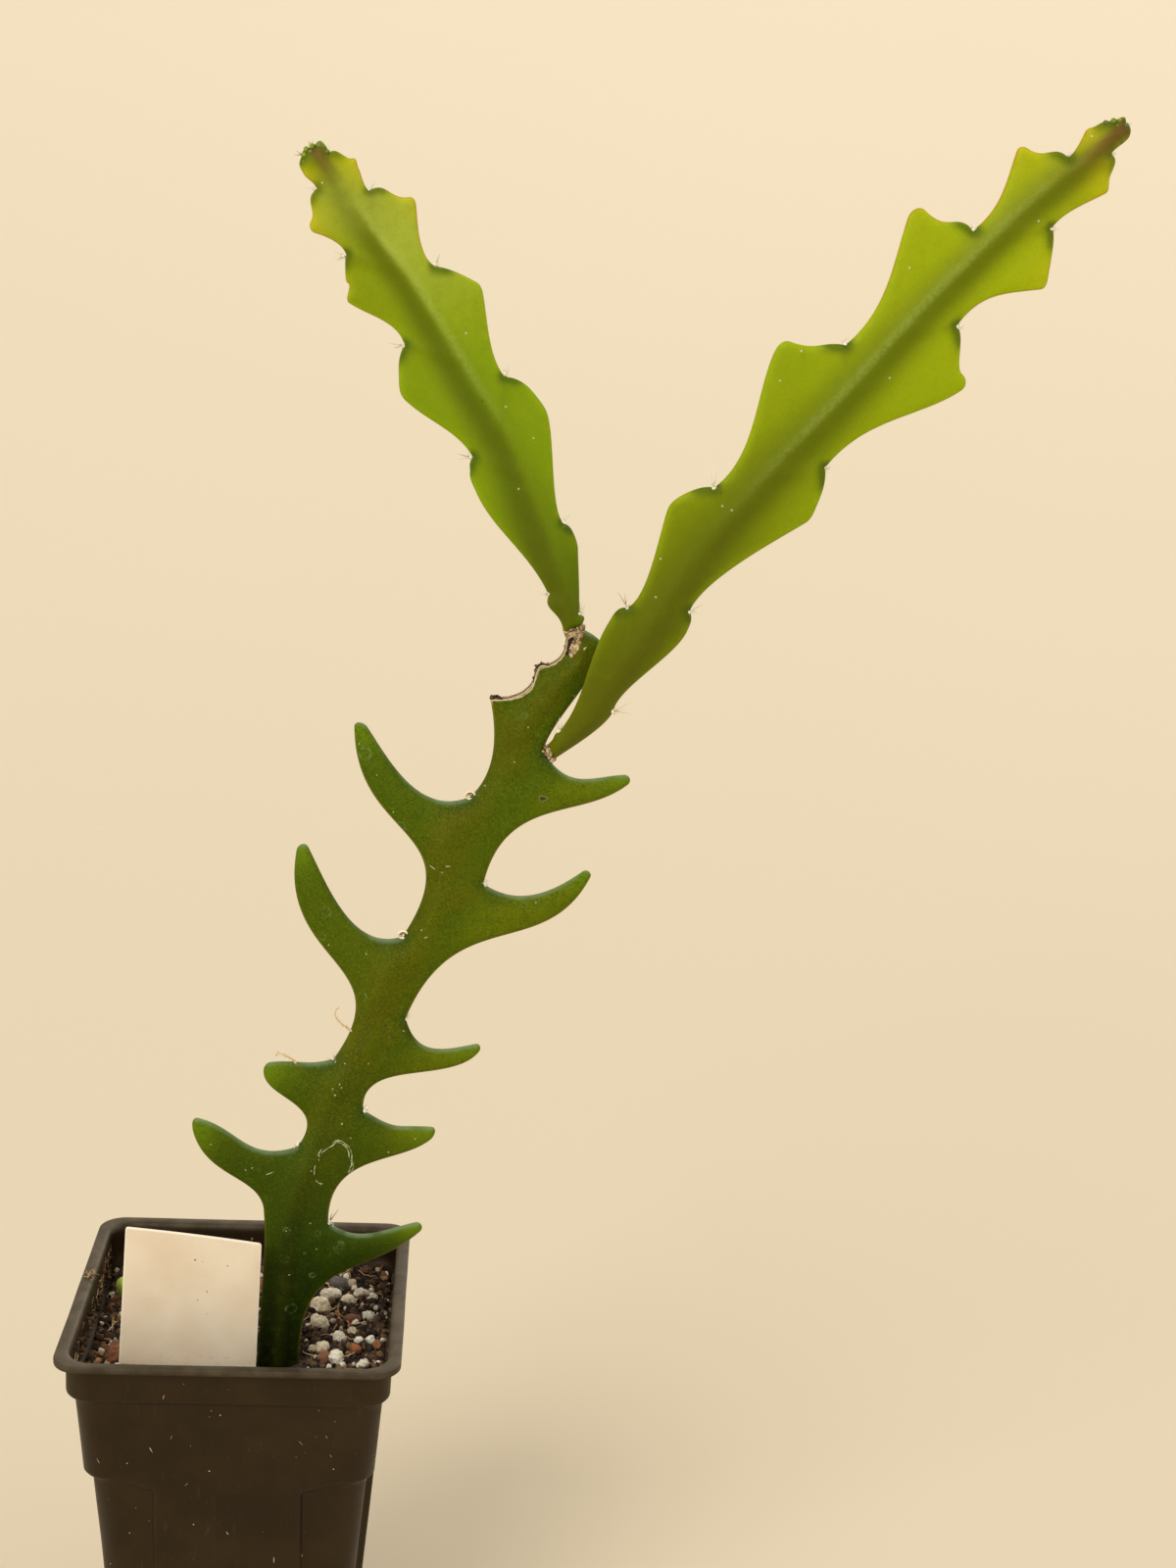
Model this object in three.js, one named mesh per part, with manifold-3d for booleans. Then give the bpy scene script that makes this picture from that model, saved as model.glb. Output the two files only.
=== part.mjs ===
// Potted ric rac cactus: an old zigzag stem with two young shoots, planted in a square nursery pot.
// Millimetres, +Z up. The origin is the middle of the pot's flat bottom, and the front is -Y.
import * as THREE from 'three';
import { mergeVertices } from 'three/addons/utils/BufferGeometryUtils.js';
import Module from 'manifold-3d';

const wasm = await Module();
wasm.setup();

// Gap that neighbouring pieces keep
const GAP = 0.3;

// Pot: half widths across the flats, heights above the ground
const POT_HEIGHT = 125;
const LIP_HALF = 45;
const LIP_THICKNESS = 1.8;
const LIP_ROUNDING = 0.4;
const MOUTH_HALF = 41.3;
const MOUTH_DROP = 1.2;
const COLLAR_HALF = 42.3;
const COLLAR_BOTTOM = 114.6;
const BODY_HALF_TOP = 40.4;
const BODY_TOP = 112.6;
const SHOULDER_TOP = 90;
const SHOULDER_BOTTOM = 84.5;
const BODY_HALF_BOTTOM = 31.3;
const CORNER_RECESS = 1.9;
const PANEL_HALF = 19;
const PANEL_STEP = 1.2;
const CORNER_RADIUS = 7;
const POT_WALL = 1;
const FLOOR_THICKNESS = 1.6;
const FOOT_ROUNDING = 1.5;
// Height at which the inside of the wall steps out to the collar
const LEDGE = BODY_TOP - 0.2;
const DRAIN_HOLE_RADIUS = 3.6;
const DRAIN_HOLE_OFFSET = 19;

// Potting mix
const MIX_LEVEL = 112.7;
const MIX_SLOPE = 0.5;
const MIX_BUMP = 0.45;
const MIX_SHOULDER_RISE = 3;
const MIX_RIM_DROP = 3;

// Stems: half thickness at the margin, swelling of the midrib and its half width
const OLD_FLESH = { margin: 2.2, rib: 1.5, ribWidth: 5 };
const YOUNG_FLESH = { margin: 1.05, rib: 1.2, ribWidth: 3 };
const OUTLINE_STEP = 2.6;
const SHORTEST_EDGE = 0.5;
const EDGE_INSET = 0.6;
const FACE_STEP = 5.4;
const EDGE_CLEARANCE = 1.7;
const POINT_SHIFT = 0.3;
// Height of the part of the main stem that makes its pocket in the mix
const BEDDED_HEIGHT = 10;

const DEGREE = Math.PI / 180;

// Merges a geometry's equal points and drops the triangles that close up
function weld(geometry) {
  const bare = new THREE.BufferGeometry();
  bare.setAttribute('position', geometry.getAttribute('position'));
  if (geometry.index) bare.setIndex(geometry.index);
  const merged = mergeVertices(bare, 1e-4);
  const faces = [];
  for (let i = 0; i < merged.index.count; i += 3) {
    const [a, b, c] = [0, 1, 2].map((k) => merged.index.getX(i + k));
    if (a !== b && b !== c && c !== a) faces.push(a, b, c);
  }
  merged.setIndex(faces);
  return merged;
}

// Turns a geometry into a solid for cutting and joining
function toSolid(geometry) {
  const welded = weld(geometry);
  const vertProperties = new Float32Array(welded.getAttribute('position').array);
  const triVerts = new Uint32Array(welded.index.array);
  return new wasm.Manifold(new wasm.Mesh({ numProp: 3, vertProperties, triVerts }));
}

// Turns a solid back into a geometry
function toGeometry(solid) {
  const mesh = solid.getMesh();
  const geometry = new THREE.BufferGeometry();
  geometry.setAttribute('position', new THREE.BufferAttribute(mesh.vertProperties, 3));
  geometry.setIndex(new THREE.BufferAttribute(mesh.triVerts, 1));
  return geometry;
}

// Closed skin through rings of equal length, with a flat fan over each end
function loft(rings) {
  const count = rings[0].length;
  const points = rings.flat();
  const faces = [];
  for (let r = 0; r < rings.length - 1; r++) {
    for (let i = 0; i < count; i++) {
      const a = r * count + i;
      const b = r * count + (i + 1) % count;
      faces.push(a, b, b + count, a, b + count, a + count);
    }
  }
  const middle = (ring) => ring.reduce((sum, p) => sum.add(p), new THREE.Vector3()).divideScalar(count);
  const last = (rings.length - 1) * count;
  points.push(middle(rings[0]), middle(rings[rings.length - 1]));
  for (let i = 0; i < count; i++) {
    const next = (i + 1) % count;
    faces.push(points.length - 2, next, i, points.length - 1, last + i, last + next);
  }
  const geometry = new THREE.BufferGeometry().setFromPoints(points);
  geometry.setIndex(faces);
  return geometry;
}

// One level of the square pot: a rounded square whose corners can stand back behind four flat panels
function potRing(half, z, recess = 0, radius = CORNER_RADIUS) {
  const ring = [];
  const cornerSteps = 5;
  const inner = half - recess;
  for (let side = 0; side < 4; side++) {
    const turn = side * 90 * DEGREE;
    const place = (x, y) => {
      const cos = Math.cos(turn);
      const sin = Math.sin(turn);
      ring.push(new THREE.Vector3(x * cos - y * sin, x * sin + y * cos, z));
    };
    place(inner, -PANEL_HALF - PANEL_STEP);
    place(half, -PANEL_HALF);
    place(half, PANEL_HALF);
    place(inner, PANEL_HALF + PANEL_STEP);
    for (let i = 0; i <= cornerSteps; i++) {
      const angle = (i / cornerSteps) * 90 * DEGREE;
      place(inner - radius + radius * Math.cos(angle), inner - radius + radius * Math.sin(angle));
    }
  }
  return ring;
}

// Half width of the body's flat panels at a height
function bodyHalf(z) {
  return THREE.MathUtils.mapLinear(z, 0, BODY_TOP, BODY_HALF_BOTTOM, BODY_HALF_TOP);
}

// Half width of the space inside the pot at a height: the body up to the ledge, then the collar
function insideHalf(z) {
  if (z <= LEDGE) return bodyHalf(z) - POT_WALL;
  const climbed = Math.min((z - LEDGE) / (COLLAR_BOTTOM - LEDGE), 1);
  return THREE.MathUtils.lerp(bodyHalf(LEDGE), COLLAR_HALF, climbed) - POT_WALL;
}

// Thin-walled pot with a rolled lip, a stacking collar and four drain holes
function makePot() {
  const lipUnderside = POT_HEIGHT - LIP_THICKNESS;
  const rings = [
    potRing(bodyHalf(0) - FOOT_ROUNDING, 0, CORNER_RECESS),
    potRing(bodyHalf(FOOT_ROUNDING), FOOT_ROUNDING, CORNER_RECESS),
    potRing(bodyHalf(SHOULDER_BOTTOM), SHOULDER_BOTTOM, CORNER_RECESS),
    potRing(bodyHalf(SHOULDER_TOP), SHOULDER_TOP),
    potRing(bodyHalf(BODY_TOP), BODY_TOP),
    potRing(COLLAR_HALF, COLLAR_BOTTOM),
    potRing(COLLAR_HALF, lipUnderside),
    potRing(LIP_HALF, lipUnderside + LIP_ROUNDING),
    potRing(LIP_HALF, POT_HEIGHT - LIP_ROUNDING),
    potRing(LIP_HALF - LIP_ROUNDING, POT_HEIGHT),
    potRing(MOUTH_HALF, POT_HEIGHT - MOUTH_DROP),
    potRing(insideHalf(lipUnderside), lipUnderside - MOUTH_DROP),
    potRing(insideHalf(COLLAR_BOTTOM), COLLAR_BOTTOM),
    potRing(insideHalf(LEDGE), LEDGE),
    potRing(insideHalf(SHOULDER_TOP), SHOULDER_TOP),
    potRing(insideHalf(SHOULDER_BOTTOM), SHOULDER_BOTTOM, CORNER_RECESS),
    potRing(insideHalf(FLOOR_THICKNESS), FLOOR_THICKNESS, CORNER_RECESS),
  ];
  let pot = toSolid(loft(rings));
  for (const [x, y] of [[1, 1], [-1, 1], [-1, -1], [1, -1]]) {
    const drill = new THREE.CylinderGeometry(DRAIN_HOLE_RADIUS, DRAIN_HOLE_RADIUS, 4 * FLOOR_THICKNESS, 16);
    drill.rotateX(90 * DEGREE);
    drill.translate(x * DRAIN_HOLE_OFFSET, y * DRAIN_HOLE_OFFSET, 0);
    pot = pot.subtract(toSolid(drill));
  }
  return toGeometry(pot);
}

// Height of the potting mix: a little higher towards the back right, with small bumps
function mixTop(x, y) {
  const slope = MIX_SLOPE * (0.4 * x + 0.6 * y) / BODY_HALF_TOP;
  const bump = Math.sin(0.31 * x + 1.3) * Math.cos(0.27 * y - 0.4) + 0.6 * Math.sin(0.7 * x + 0.5 * y);
  return MIX_LEVEL + slope + MIX_BUMP * bump;
}

// Potting mix: fills the pot up to about the ledge, with a pocket for everything that is bedded in it
function makePottingMix(bedded) {
  const wall = (z) => insideHalf(z - 2 * GAP) - GAP;
  const floor = FLOOR_THICKNESS + GAP;
  const rings = [
    potRing(wall(floor), floor, CORNER_RECESS),
    potRing(wall(SHOULDER_BOTTOM), SHOULDER_BOTTOM + MIX_SHOULDER_RISE, CORNER_RECESS),
    potRing(wall(SHOULDER_TOP), SHOULDER_TOP + MIX_SHOULDER_RISE),
    potRing(wall(LEDGE - MIX_RIM_DROP), LEDGE - MIX_RIM_DROP),
  ];
  for (const share of [1, 0.86, 0.7, 0.54, 0.38, 0.22, 0.08]) {
    rings.push(potRing(COLLAR_HALF, 0).map((p) => {
      p.multiplyScalar(share * wall(Math.min(mixTop(p.x, p.y), LEDGE)) / COLLAR_HALF);
      return p.setZ(mixTop(p.x, p.y));
    }));
  }
  let mix = toSolid(loft(rings));
  for (const geometry of bedded) mix = mix.subtract(toSolid(geometry));
  return toGeometry(mix);
}

// Stem outlines. Each pair is [across, along] the stem, and a side is listed from the base up.
// A lobe goes out along its lower edge, round its tip from one point to the next, and back along its
// upper edge to the areole. An edge is a bare stretch of margin. Both are cubic curves with two handles.
const lobe = (out1, out2, tipIn, tipOut, back1, back2, areole) => ({
  out: [out1, out2],
  tip: [tipIn, tipOut],
  back: [back1, back2],
  end: areole,
});
const edge = (handle1, handle2, end) => ({ out: [handle1, handle2], end });

const MAIN_STEM = {
  base: [[-5.3, 0], [-5, -12], [-4, -24], [-1.5, -30], [1.5, -30], [4, -24], [5.5, -12], [6, 0]],
  left: [
    edge([-5, 14], [-3, 34], [-4, 45]),
    lobe([-4, 56], [-18, 54], [-22.5, 67], [-21.5, 71.5], [-11, 69], [-9, 59], [4.5, 64]),
    lobe([12.5, 75.5], [-2, 76.5], [-4.5, 83], [-3, 87], [3.5, 88], [7.5, 86], [13.5, 88.5]),
    lobe([31.5, 115.5], [-2, 113.5], [2.5, 143.5], [5.5, 144.5], [10.5, 135.5], [17.5, 117], [30.5, 122]),
    lobe([48.5, 152], [17.5, 146.5], [16.5, 176], [20, 176], [26, 167.5], [34, 154], [46.5, 159.5]),
    edge([52, 164.5], [54, 173], [51, 185.5]),
    edge([58.5, 185.5], [62, 188.5], [63, 194.5]),
    edge([66, 194.5], [69.5, 196.5], [69.5, 200.5]),
    edge([69.5, 202.5], [71.5, 204], [74, 204]),
  ],
  right: [
    lobe([5, 34.5], [23, 25.5], [37.5, 40], [36, 42.5], [28, 40.5], [20.5, 36], [13, 42.5]),
    lobe([12.5, 62.5], [31, 59], [39.5, 66.5], [39.5, 70], [29.5, 70.5], [30.5, 68.5], [21.5, 74.5]),
    lobe([20.5, 89.5], [44.5, 81.5], [51.5, 91.5], [50.5, 93.5], [42.5, 91.5], [35, 89], [32, 100]),
    lobe([44, 132.5], [67.5, 116], [78.5, 140], [76.5, 141.5], [69, 135.5], [60.5, 131], [51, 137]),
    lobe([56, 161], [74.5, 154.5], [87, 165], [86, 167.5], [77, 166.5], [72, 162.5], [65, 172.5]),
    edge([67, 181], [77, 190], [79, 199.5]),
    edge([79, 202], [76.5, 203], [74.5, 204]),
  ],
  midrib: [
    [0, -30], [0.5, 2], [2, 22], [4, 42], [10, 63], [16.5, 83], [23, 100],
    [30, 117], [37.5, 137], [45, 155], [55, 172], [65.5, 189], [74, 203],
  ],
  flesh: OLD_FLESH,
  bend: (u, v) => 0.0013 * (u - 0.42 * v) * (v - 95),
  place: { origin: [11, -17, 111], lean: 0, forward: -2 },
  material: { color: 0x2f5a12, roughness: 0.42 },
};

const LEFT_SHOOT = {
  base: [[-3.2, 1.7], [-2.5, 0.8], [1.5, 0.4], [2.3, 1.2]],
  left: [
    edge([-1, 6.5], [-5.5, 9], [-2, 11.5]),
    lobe([-1, 23], [-6.5, 33], [-5.5, 43], [-4.5, 48], [-3.5, 49.5], [-4, 50], [-2, 51]),
    lobe([-2, 58.5], [-8, 64.5], [-10, 71.5], [-8, 78], [-7, 80], [-5.5, 82], [-3.5, 83]),
    lobe([-2, 89], [-8, 93.5], [-10.5, 98.5], [-8.5, 103], [-9, 103.5], [-4.5, 111], [-5.5, 108.5]),
    lobe([-4.5, 111.5], [-7.5, 115], [-9.5, 117], [-9, 120], [-6.5, 121.5], [-8, 125.5], [-4, 126]),
    lobe([-3.5, 127.5], [-5, 129], [-5, 130.5], [-4.5, 133.5], [-4, 134], [-3.5, 134.5], [-3, 134.5]),
    lobe([-3.5, 135], [-3.5, 135.5], [-3, 136.5], [-1.5, 137], [-1, 136.5], [-0.5, 136.5], [0, 136]),
  ],
  right: [
    edge([3.5, 2], [3.5, 2.5], [2.5, 3.5]),
    lobe([5, 8], [7.5, 13], [10, 18], [11, 23], [11, 23.5], [11, 24.5], [10, 25.5]),
    lobe([8.5, 30], [18.5, 45.5], [19.5, 51.5], [19, 57.5], [18.5, 60.5], [17, 63], [14.5, 64.5]),
    lobe([13.5, 70.5], [17, 77.5], [19, 83], [19.5, 88], [17.5, 91], [15, 94.5], [12.5, 96]),
    lobe([10, 100], [13.5, 106.5], [15.5, 111], [15, 113.5], [10.5, 115], [12, 119.5], [7.5, 119.5]),
    lobe([6, 119.5], [7.5, 124.5], [7.5, 125.5], [7.5, 128], [5.5, 128.5], [5.5, 132.5], [3, 132]),
    lobe([3, 133], [3.5, 134.5], [3, 136.5], [1.5, 137.5], [1, 137], [0.5, 136.5], [0.5, 136]),
  ],
  midrib: [
    [-0.5, 1], [2.2, 10], [4.2, 21], [6, 34], [7.6, 48], [7.4, 58], [6.6, 68],
    [6, 83], [5.2, 96], [3.8, 105], [2.3, 115], [1.4, 125], [0.5, 136],
  ],
  flesh: YOUNG_FLESH,
  bend: (u, v) => -0.0002 * v * v + 0.0015 * u * (v - 90),
  place: { origin: [83.5, -8.2, 314.5], lean: -31, forward: -3 },
  material: { color: 0x6f8f10, roughness: 0.45 },
};

const RIGHT_SHOOT = {
  base: [[-2.8, 2.6], [-2.2, 0.8], [-0.8, -0.2], [0.5, -0.4], [1.2, 0.4]],
  left: [
    edge([-2.5, 5], [-4, 5.5], [-3, 6.5]),
    lobe([-3.5, 17.5], [-11, 26.5], [-13, 37], [-13.5, 40.5], [-13.5, 41.5], [-13, 42.5], [-12, 43]),
    lobe([-10, 48.5], [-18.5, 62], [-21, 68], [-20.5, 73.5], [-19.5, 76], [-18, 78.5], [-16, 79.5]),
    lobe([-13.5, 91.5], [-23, 102], [-26.5, 112.5], [-25.5, 117.5], [-19, 120], [-20, 122.5], [-15, 125.5]),
    lobe([-13, 138], [-19, 146.5], [-23.5, 157], [-21.5, 161], [-14, 160.5], [-16, 165.5], [-10, 165]),
    lobe([-8.5, 173.5], [-11.5, 177.5], [-14.5, 185], [-13, 187], [-8, 187.5], [-9, 192], [-4.5, 191.5]),
    lobe([-4, 193.5], [-5, 196.5], [-5.5, 198.5], [-4.5, 201], [-4, 202.5], [-3.5, 204], [-2, 204]),
    lobe([-2, 204.5], [-2, 205], [-1.5, 206], [-0.5, 206.5], [0, 206], [0.5, 206], [0.5, 205.5]),
  ],
  right: [
    edge([2, 5], [5, 15.5], [3.5, 20]),
    lobe([0, 26], [5.5, 41.5], [3, 48.5], [1.5, 51.5], [1, 52], [0.5, 52.5], [0, 52.5]),
    lobe([-2.5, 61], [3, 76], [6.5, 87.5], [5.5, 93], [4.5, 96], [3, 99], [1, 100.5]),
    lobe([0, 116], [10, 124], [13, 135.5], [10.5, 138.5], [8, 138.5], [5, 146], [2, 146]),
    lobe([1, 155.5], [5.5, 159], [11, 165], [10, 169], [9, 170.5], [5, 177.5], [3.5, 177]),
    lobe([3, 182], [6, 187], [7.5, 191], [6, 194], [5, 195.5], [5, 199], [2.5, 198.5]),
    lobe([2, 199.5], [3, 201.5], [3, 203.5], [2, 205.5], [1.5, 206], [1, 206], [1, 205.5]),
  ],
  midrib: [
    [0, 0], [-0.5, 12], [-1.5, 24], [-3.5, 38], [-6, 54], [-7.8, 70], [-8, 93],
    [-7.2, 111], [-6.8, 127], [-6.5, 143], [-5.8, 155], [-4.4, 173], [-2.3, 188], [0.5, 205],
  ],
  flesh: YOUNG_FLESH,
  bend: (u, v) => 0.3 * v - 0.0016 * v * v + 3e-6 * v * v * v + 0.0012 * u * (v - 60),
  place: { origin: [78, -10.5, 282], lean: 38, forward: 0 },
  material: { color: 0x6c8a0c, roughness: 0.45 },
};

// Walks one side of an outline from its first point and returns its points
function walkSide(start, stretches) {
  const at = (pair) => new THREE.Vector2(...pair);
  const points = [];
  let here = start;
  const curveTo = (first, second, end) => {
    const curve = new THREE.CubicBezierCurve(here, first, second, end);
    const steps = Math.max(2, Math.round(curve.getLength() / OUTLINE_STEP));
    points.push(...curve.getSpacedPoints(steps).slice(1));
    here = end;
  };
  for (const stretch of stretches) {
    const [out1, out2] = stretch.out.map(at);
    if (!stretch.tip) {
      curveTo(out1, out2, at(stretch.end));
      continue;
    }
    const [tipIn, tipOut] = stretch.tip.map(at);
    const [back1, back2] = stretch.back.map(at);
    curveTo(out1, out2, tipIn);
    roundTip(out2, tipIn, tipOut, back1, points);
    here = tipOut;
    curveTo(back1, back2, at(stretch.end));
  }
  return points;
}

// Rounds a tip with the arc-like curve that leaves one edge and joins the next without a kink
function roundTip(before, tipIn, tipOut, after, points) {
  const leave = tipIn.clone().sub(before).normalize();
  const join = tipOut.clone().sub(after).normalize();
  const chord = tipIn.distanceTo(tipOut);
  const turn = Math.PI - leave.angleTo(join);
  const radius = chord / (2 * Math.sin(turn / 2));
  const reach = (4 / 3) * Math.tan(turn / 4) * radius;
  const first = leave.multiplyScalar(reach).add(tipIn);
  const second = join.multiplyScalar(reach).add(tipOut);
  const curve = new THREE.CubicBezierCurve(tipIn, first, second, tipOut);
  const steps = Math.max(2, Math.round(curve.getLength() / (0.5 * OUTLINE_STEP)));
  points.push(...curve.getSpacedPoints(steps).slice(1));
}

// Whole outline of a stem, anticlockwise, as seen from the front
function stemOutline(stem) {
  const base = stem.base.map((pair) => new THREE.Vector2(...pair));
  const left = walkSide(base[0], stem.left);
  const right = walkSide(base[base.length - 1], stem.right);
  const corners = [...base, ...right, ...left.reverse()];
  const outline = [];
  corners.forEach((p, i) => {
    const next = corners[(i + 1) % corners.length];
    const length = p.distanceTo(next);
    const steps = Math.ceil(length / (1.5 * OUTLINE_STEP));
    if (length < SHORTEST_EDGE) return;
    for (let k = 0; k < steps; k++) outline.push(p.clone().lerp(next, k / steps));
  });
  return outline;
}

// Shortest distance from a point to a run of straight pieces
function distanceToRun(point, run, closed) {
  const piece = new THREE.Line3();
  const target = new THREE.Vector3(point.x, point.y, 0);
  const nearest = new THREE.Vector3();
  let best = Infinity;
  const count = closed ? run.length : run.length - 1;
  for (let i = 0; i < count; i++) {
    const next = run[(i + 1) % run.length];
    piece.start.set(run[i].x, run[i].y, 0);
    piece.end.set(next.x, next.y, 0);
    piece.closestPointToPoint(target, true, nearest);
    best = Math.min(best, nearest.distanceTo(target));
  }
  return best;
}

// Circle through three corners of a flat triangle
function roundCorners(points, corners) {
  const [a, b, c] = corners.map((index) => points[index]);
  const ab = b.clone().sub(a);
  const ac = c.clone().sub(a);
  const cross = 2 * ab.cross(ac);
  const x = (ac.y * ab.lengthSq() - ab.y * ac.lengthSq()) / cross;
  const y = (ab.x * ac.lengthSq() - ac.x * ab.lengthSq()) / cross;
  return { corners, centre: new THREE.Vector2(a.x + x, a.y + y), reach: Math.hypot(x, y) };
}

// Joins flat points into the triangles whose circles hold no other point
function joinPoints(points) {
  const far = 1e4;
  const count = points.length;
  const all = [...points];
  for (const [x, y] of [[-far, -far], [far, -far], [0, far]]) all.push(new THREE.Vector2(x, y));
  let triangles = [roundCorners(all, [count, count + 1, count + 2])];
  points.forEach((point, index) => {
    const rim = new Map();
    const kept = [];
    for (const triangle of triangles) {
      if (point.distanceTo(triangle.centre) >= triangle.reach) {
        kept.push(triangle);
        continue;
      }
      const [a, b, c] = triangle.corners;
      for (const [from, to] of [[a, b], [b, c], [c, a]]) {
        if (!rim.delete(`${to} ${from}`)) rim.set(`${from} ${to}`, [from, to]);
      }
    }
    for (const [from, to] of rim.values()) kept.push(roundCorners(all, [from, to, index]));
    triangles = kept;
  });
  return triangles.map(({ corners }) => corners).filter((corners) => Math.max(...corners) < count);
}

// True where a point lies inside a closed run
function isInside(point, run) {
  let inside = false;
  run.forEach((p, i) => {
    const next = run[(i + 1) % run.length];
    if ((p.y > point.y) === (next.y > point.y)) return;
    if (point.x < p.x + (next.x - p.x) * (point.y - p.y) / (next.y - p.y)) inside = !inside;
  });
  return inside;
}

// Evenly spread points inside a closed run, kept off its edge and shifted a little out of line
function spreadPoints(run) {
  const box = new THREE.Box2().setFromPoints(run);
  const rowStep = FACE_STEP * Math.sin(60 * DEGREE);
  const points = [];
  for (let row = Math.floor(box.min.y / rowStep); row * rowStep < box.max.y; row++) {
    for (let column = Math.floor(box.min.x / FACE_STEP); column * FACE_STEP < box.max.x; column++) {
      const x = (column + (row & 1) / 2) * FACE_STEP;
      const y = row * rowStep;
      const point = new THREE.Vector2(x + POINT_SHIFT * Math.sin(5 * y), y + POINT_SHIFT * Math.sin(7 * x));
      if (isInside(point, run) && distanceToRun(point, run, true) > EDGE_CLEARANCE) points.push(point);
    }
  }
  return points;
}

// Points of a closed run moved along its outward normals
function moveOut(run, distance) {
  return run.map((p, i) => {
    const before = run[(i + run.length - 1) % run.length];
    const after = run[(i + 1) % run.length];
    const along = after.clone().sub(before).normalize();
    return new THREE.Vector2(p.x + along.y * distance, p.y - along.x * distance);
  });
}

// Triangles over a closed run. Edges that the triangles miss are halved in the run, until none is left.
function coverRun(run, inset) {
  for (let round = 0; round < 8; round++) {
    const inner = moveOut(run, -inset);
    const points = [...inner, ...spreadPoints(inner)];
    const faces = joinPoints(points).filter(([a, b, c]) => {
      const middle = points[a].clone().add(points[b]).add(points[c]).divideScalar(3);
      return isInside(middle, inner);
    });
    const edges = new Set(faces.flatMap(([a, b, c]) => [`${a} ${b}`, `${b} ${c}`, `${c} ${a}`]));
    const split = run.flatMap((p, i) => {
      const next = (i + 1) % run.length;
      return edges.has(`${i} ${next}`) ? [p] : [p, p.clone().lerp(run[next], 0.5)];
    });
    if (split.length === run.length) return { run, points, faces };
    run = split;
  }
  throw new Error('an edge of the outline stays uncovered');
}

// Flat fleshy stem: round margins, a swollen midrib, bent and twisted. Grow makes it fatter all round,
// and a height keeps only what lies below it.
function makeStem(stem, grow = 0, height = Infinity) {
  const midrib = new THREE.SplineCurve(stem.midrib.map((pair) => new THREE.Vector2(...pair))).getPoints(60);
  const { margin, rib, ribWidth } = stem.flesh;
  const outline = stemOutline(stem).filter((p) => p.y < height);
  const { run, points, faces } = coverRun(moveOut(outline, grow), EDGE_INSET);
  const lift = (p, side) => {
    const depth = Math.min(distanceToRun(p, run, true), margin) / margin;
    const rounded = margin * Math.sqrt(1 - (1 - depth) ** 2);
    const fromRib = distanceToRun(p, midrib, false) / ribWidth;
    const half = rounded + rib * Math.exp(-fromRib * fromRib) * depth + grow;
    return new THREE.Vector3(p.x, p.y, stem.bend(p.x, p.y) + side * half);
  };
  const rim = run.map((p) => new THREE.Vector3(p.x, p.y, stem.bend(p.x, p.y)));
  const front = points.map((p) => lift(p, 1));
  const back = points.map((p) => lift(p, -1));
  const corners = faces.flatMap(([a, b, c]) => [front[a], front[b], front[c], back[a], back[c], back[b]]);
  run.forEach((p, i) => {
    const next = (i + 1) % run.length;
    corners.push(rim[i], rim[next], front[next], rim[i], front[next], front[i]);
    corners.push(rim[next], rim[i], back[i], rim[next], back[i], back[next]);
  });
  return new THREE.BufferGeometry().setFromPoints(corners);
}

// Stands a stem up at its origin, leaning right and forward by its angles
function placeStem(object, { origin, lean, forward }) {
  object.position.set(...origin);
  object.rotation.set((90 + forward) * DEGREE, 0, -lean * DEGREE);
  object.updateMatrixWorld();
}

// Thin round strand along points, with a radius. Extra makes its free end longer.
function makeStrand(points, radius, steps, extra = 0) {
  const circle = new THREE.Shape().absarc(0, 0, radius, 0, 2 * Math.PI);
  const places = points.map((p) => new THREE.Vector3(...p));
  const [before, last] = places.slice(-2);
  last.addScaledVector(last.clone().sub(before).normalize(), extra);
  const path = new THREE.CatmullRomCurve3(places);
  const settings = { steps, curveSegments: 3, extrudePath: path, bevelEnabled: false };
  return new THREE.ExtrudeGeometry(circle, settings);
}

// Roots under the stem: a crown and wandering strands. Grow makes them fatter all round.
const ROOT_CROWN = { centre: [11, -16, 77.85], size: [4.5, 3.2, 3] };
const ROOT_STRANDS = [
  { radius: 1, points: [[11.5, -16, 76], [4, -14, 66], [-4, -7, 60], [-9, -9, 48], [-16, -3, 38]] },
  { radius: 0.9, points: [[12, -15, 76], [16, -8, 68], [21, 2, 60], [18, 10, 50], [22, 14, 40]] },
  { radius: 0.9, points: [[11, -16, 76], [11, -20, 64], [6, -24, 52], [10, -22, 40], [5, -17, 28]] },
  { radius: 0.8, points: [[12.5, -16.5, 77], [20, -20, 71], [25, -18, 62], [24, -23, 52]] },
  { radius: 0.8, points: [[11, -15, 77], [5, -7, 72], [3, 4, 66], [-5, 10, 60], [-3, 18, 52]] },
];

function makeRoots(grow = 0) {
  const [a, b, c] = ROOT_CROWN.size.map((s) => s + grow);
  const crown = new THREE.SphereGeometry(1, 10, 7).scale(a, b, c).translate(...ROOT_CROWN.centre);
  let roots = toSolid(crown);
  for (const { radius, points } of ROOT_STRANDS) {
    roots = roots.add(toSolid(makeStrand(points, radius + grow, 7, grow)));
  }
  return toGeometry(roots);
}

// Plant label: a plain plastic card cut a little out of square, pushed into the mix
const LABEL_Y = -25;
const LABEL_THICKNESS = 0.8;
const LABEL_CORNERS = [[-31.5, 88], [5.3, 88], [7.2, 151.3], [-28.2, 155.2]];

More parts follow.
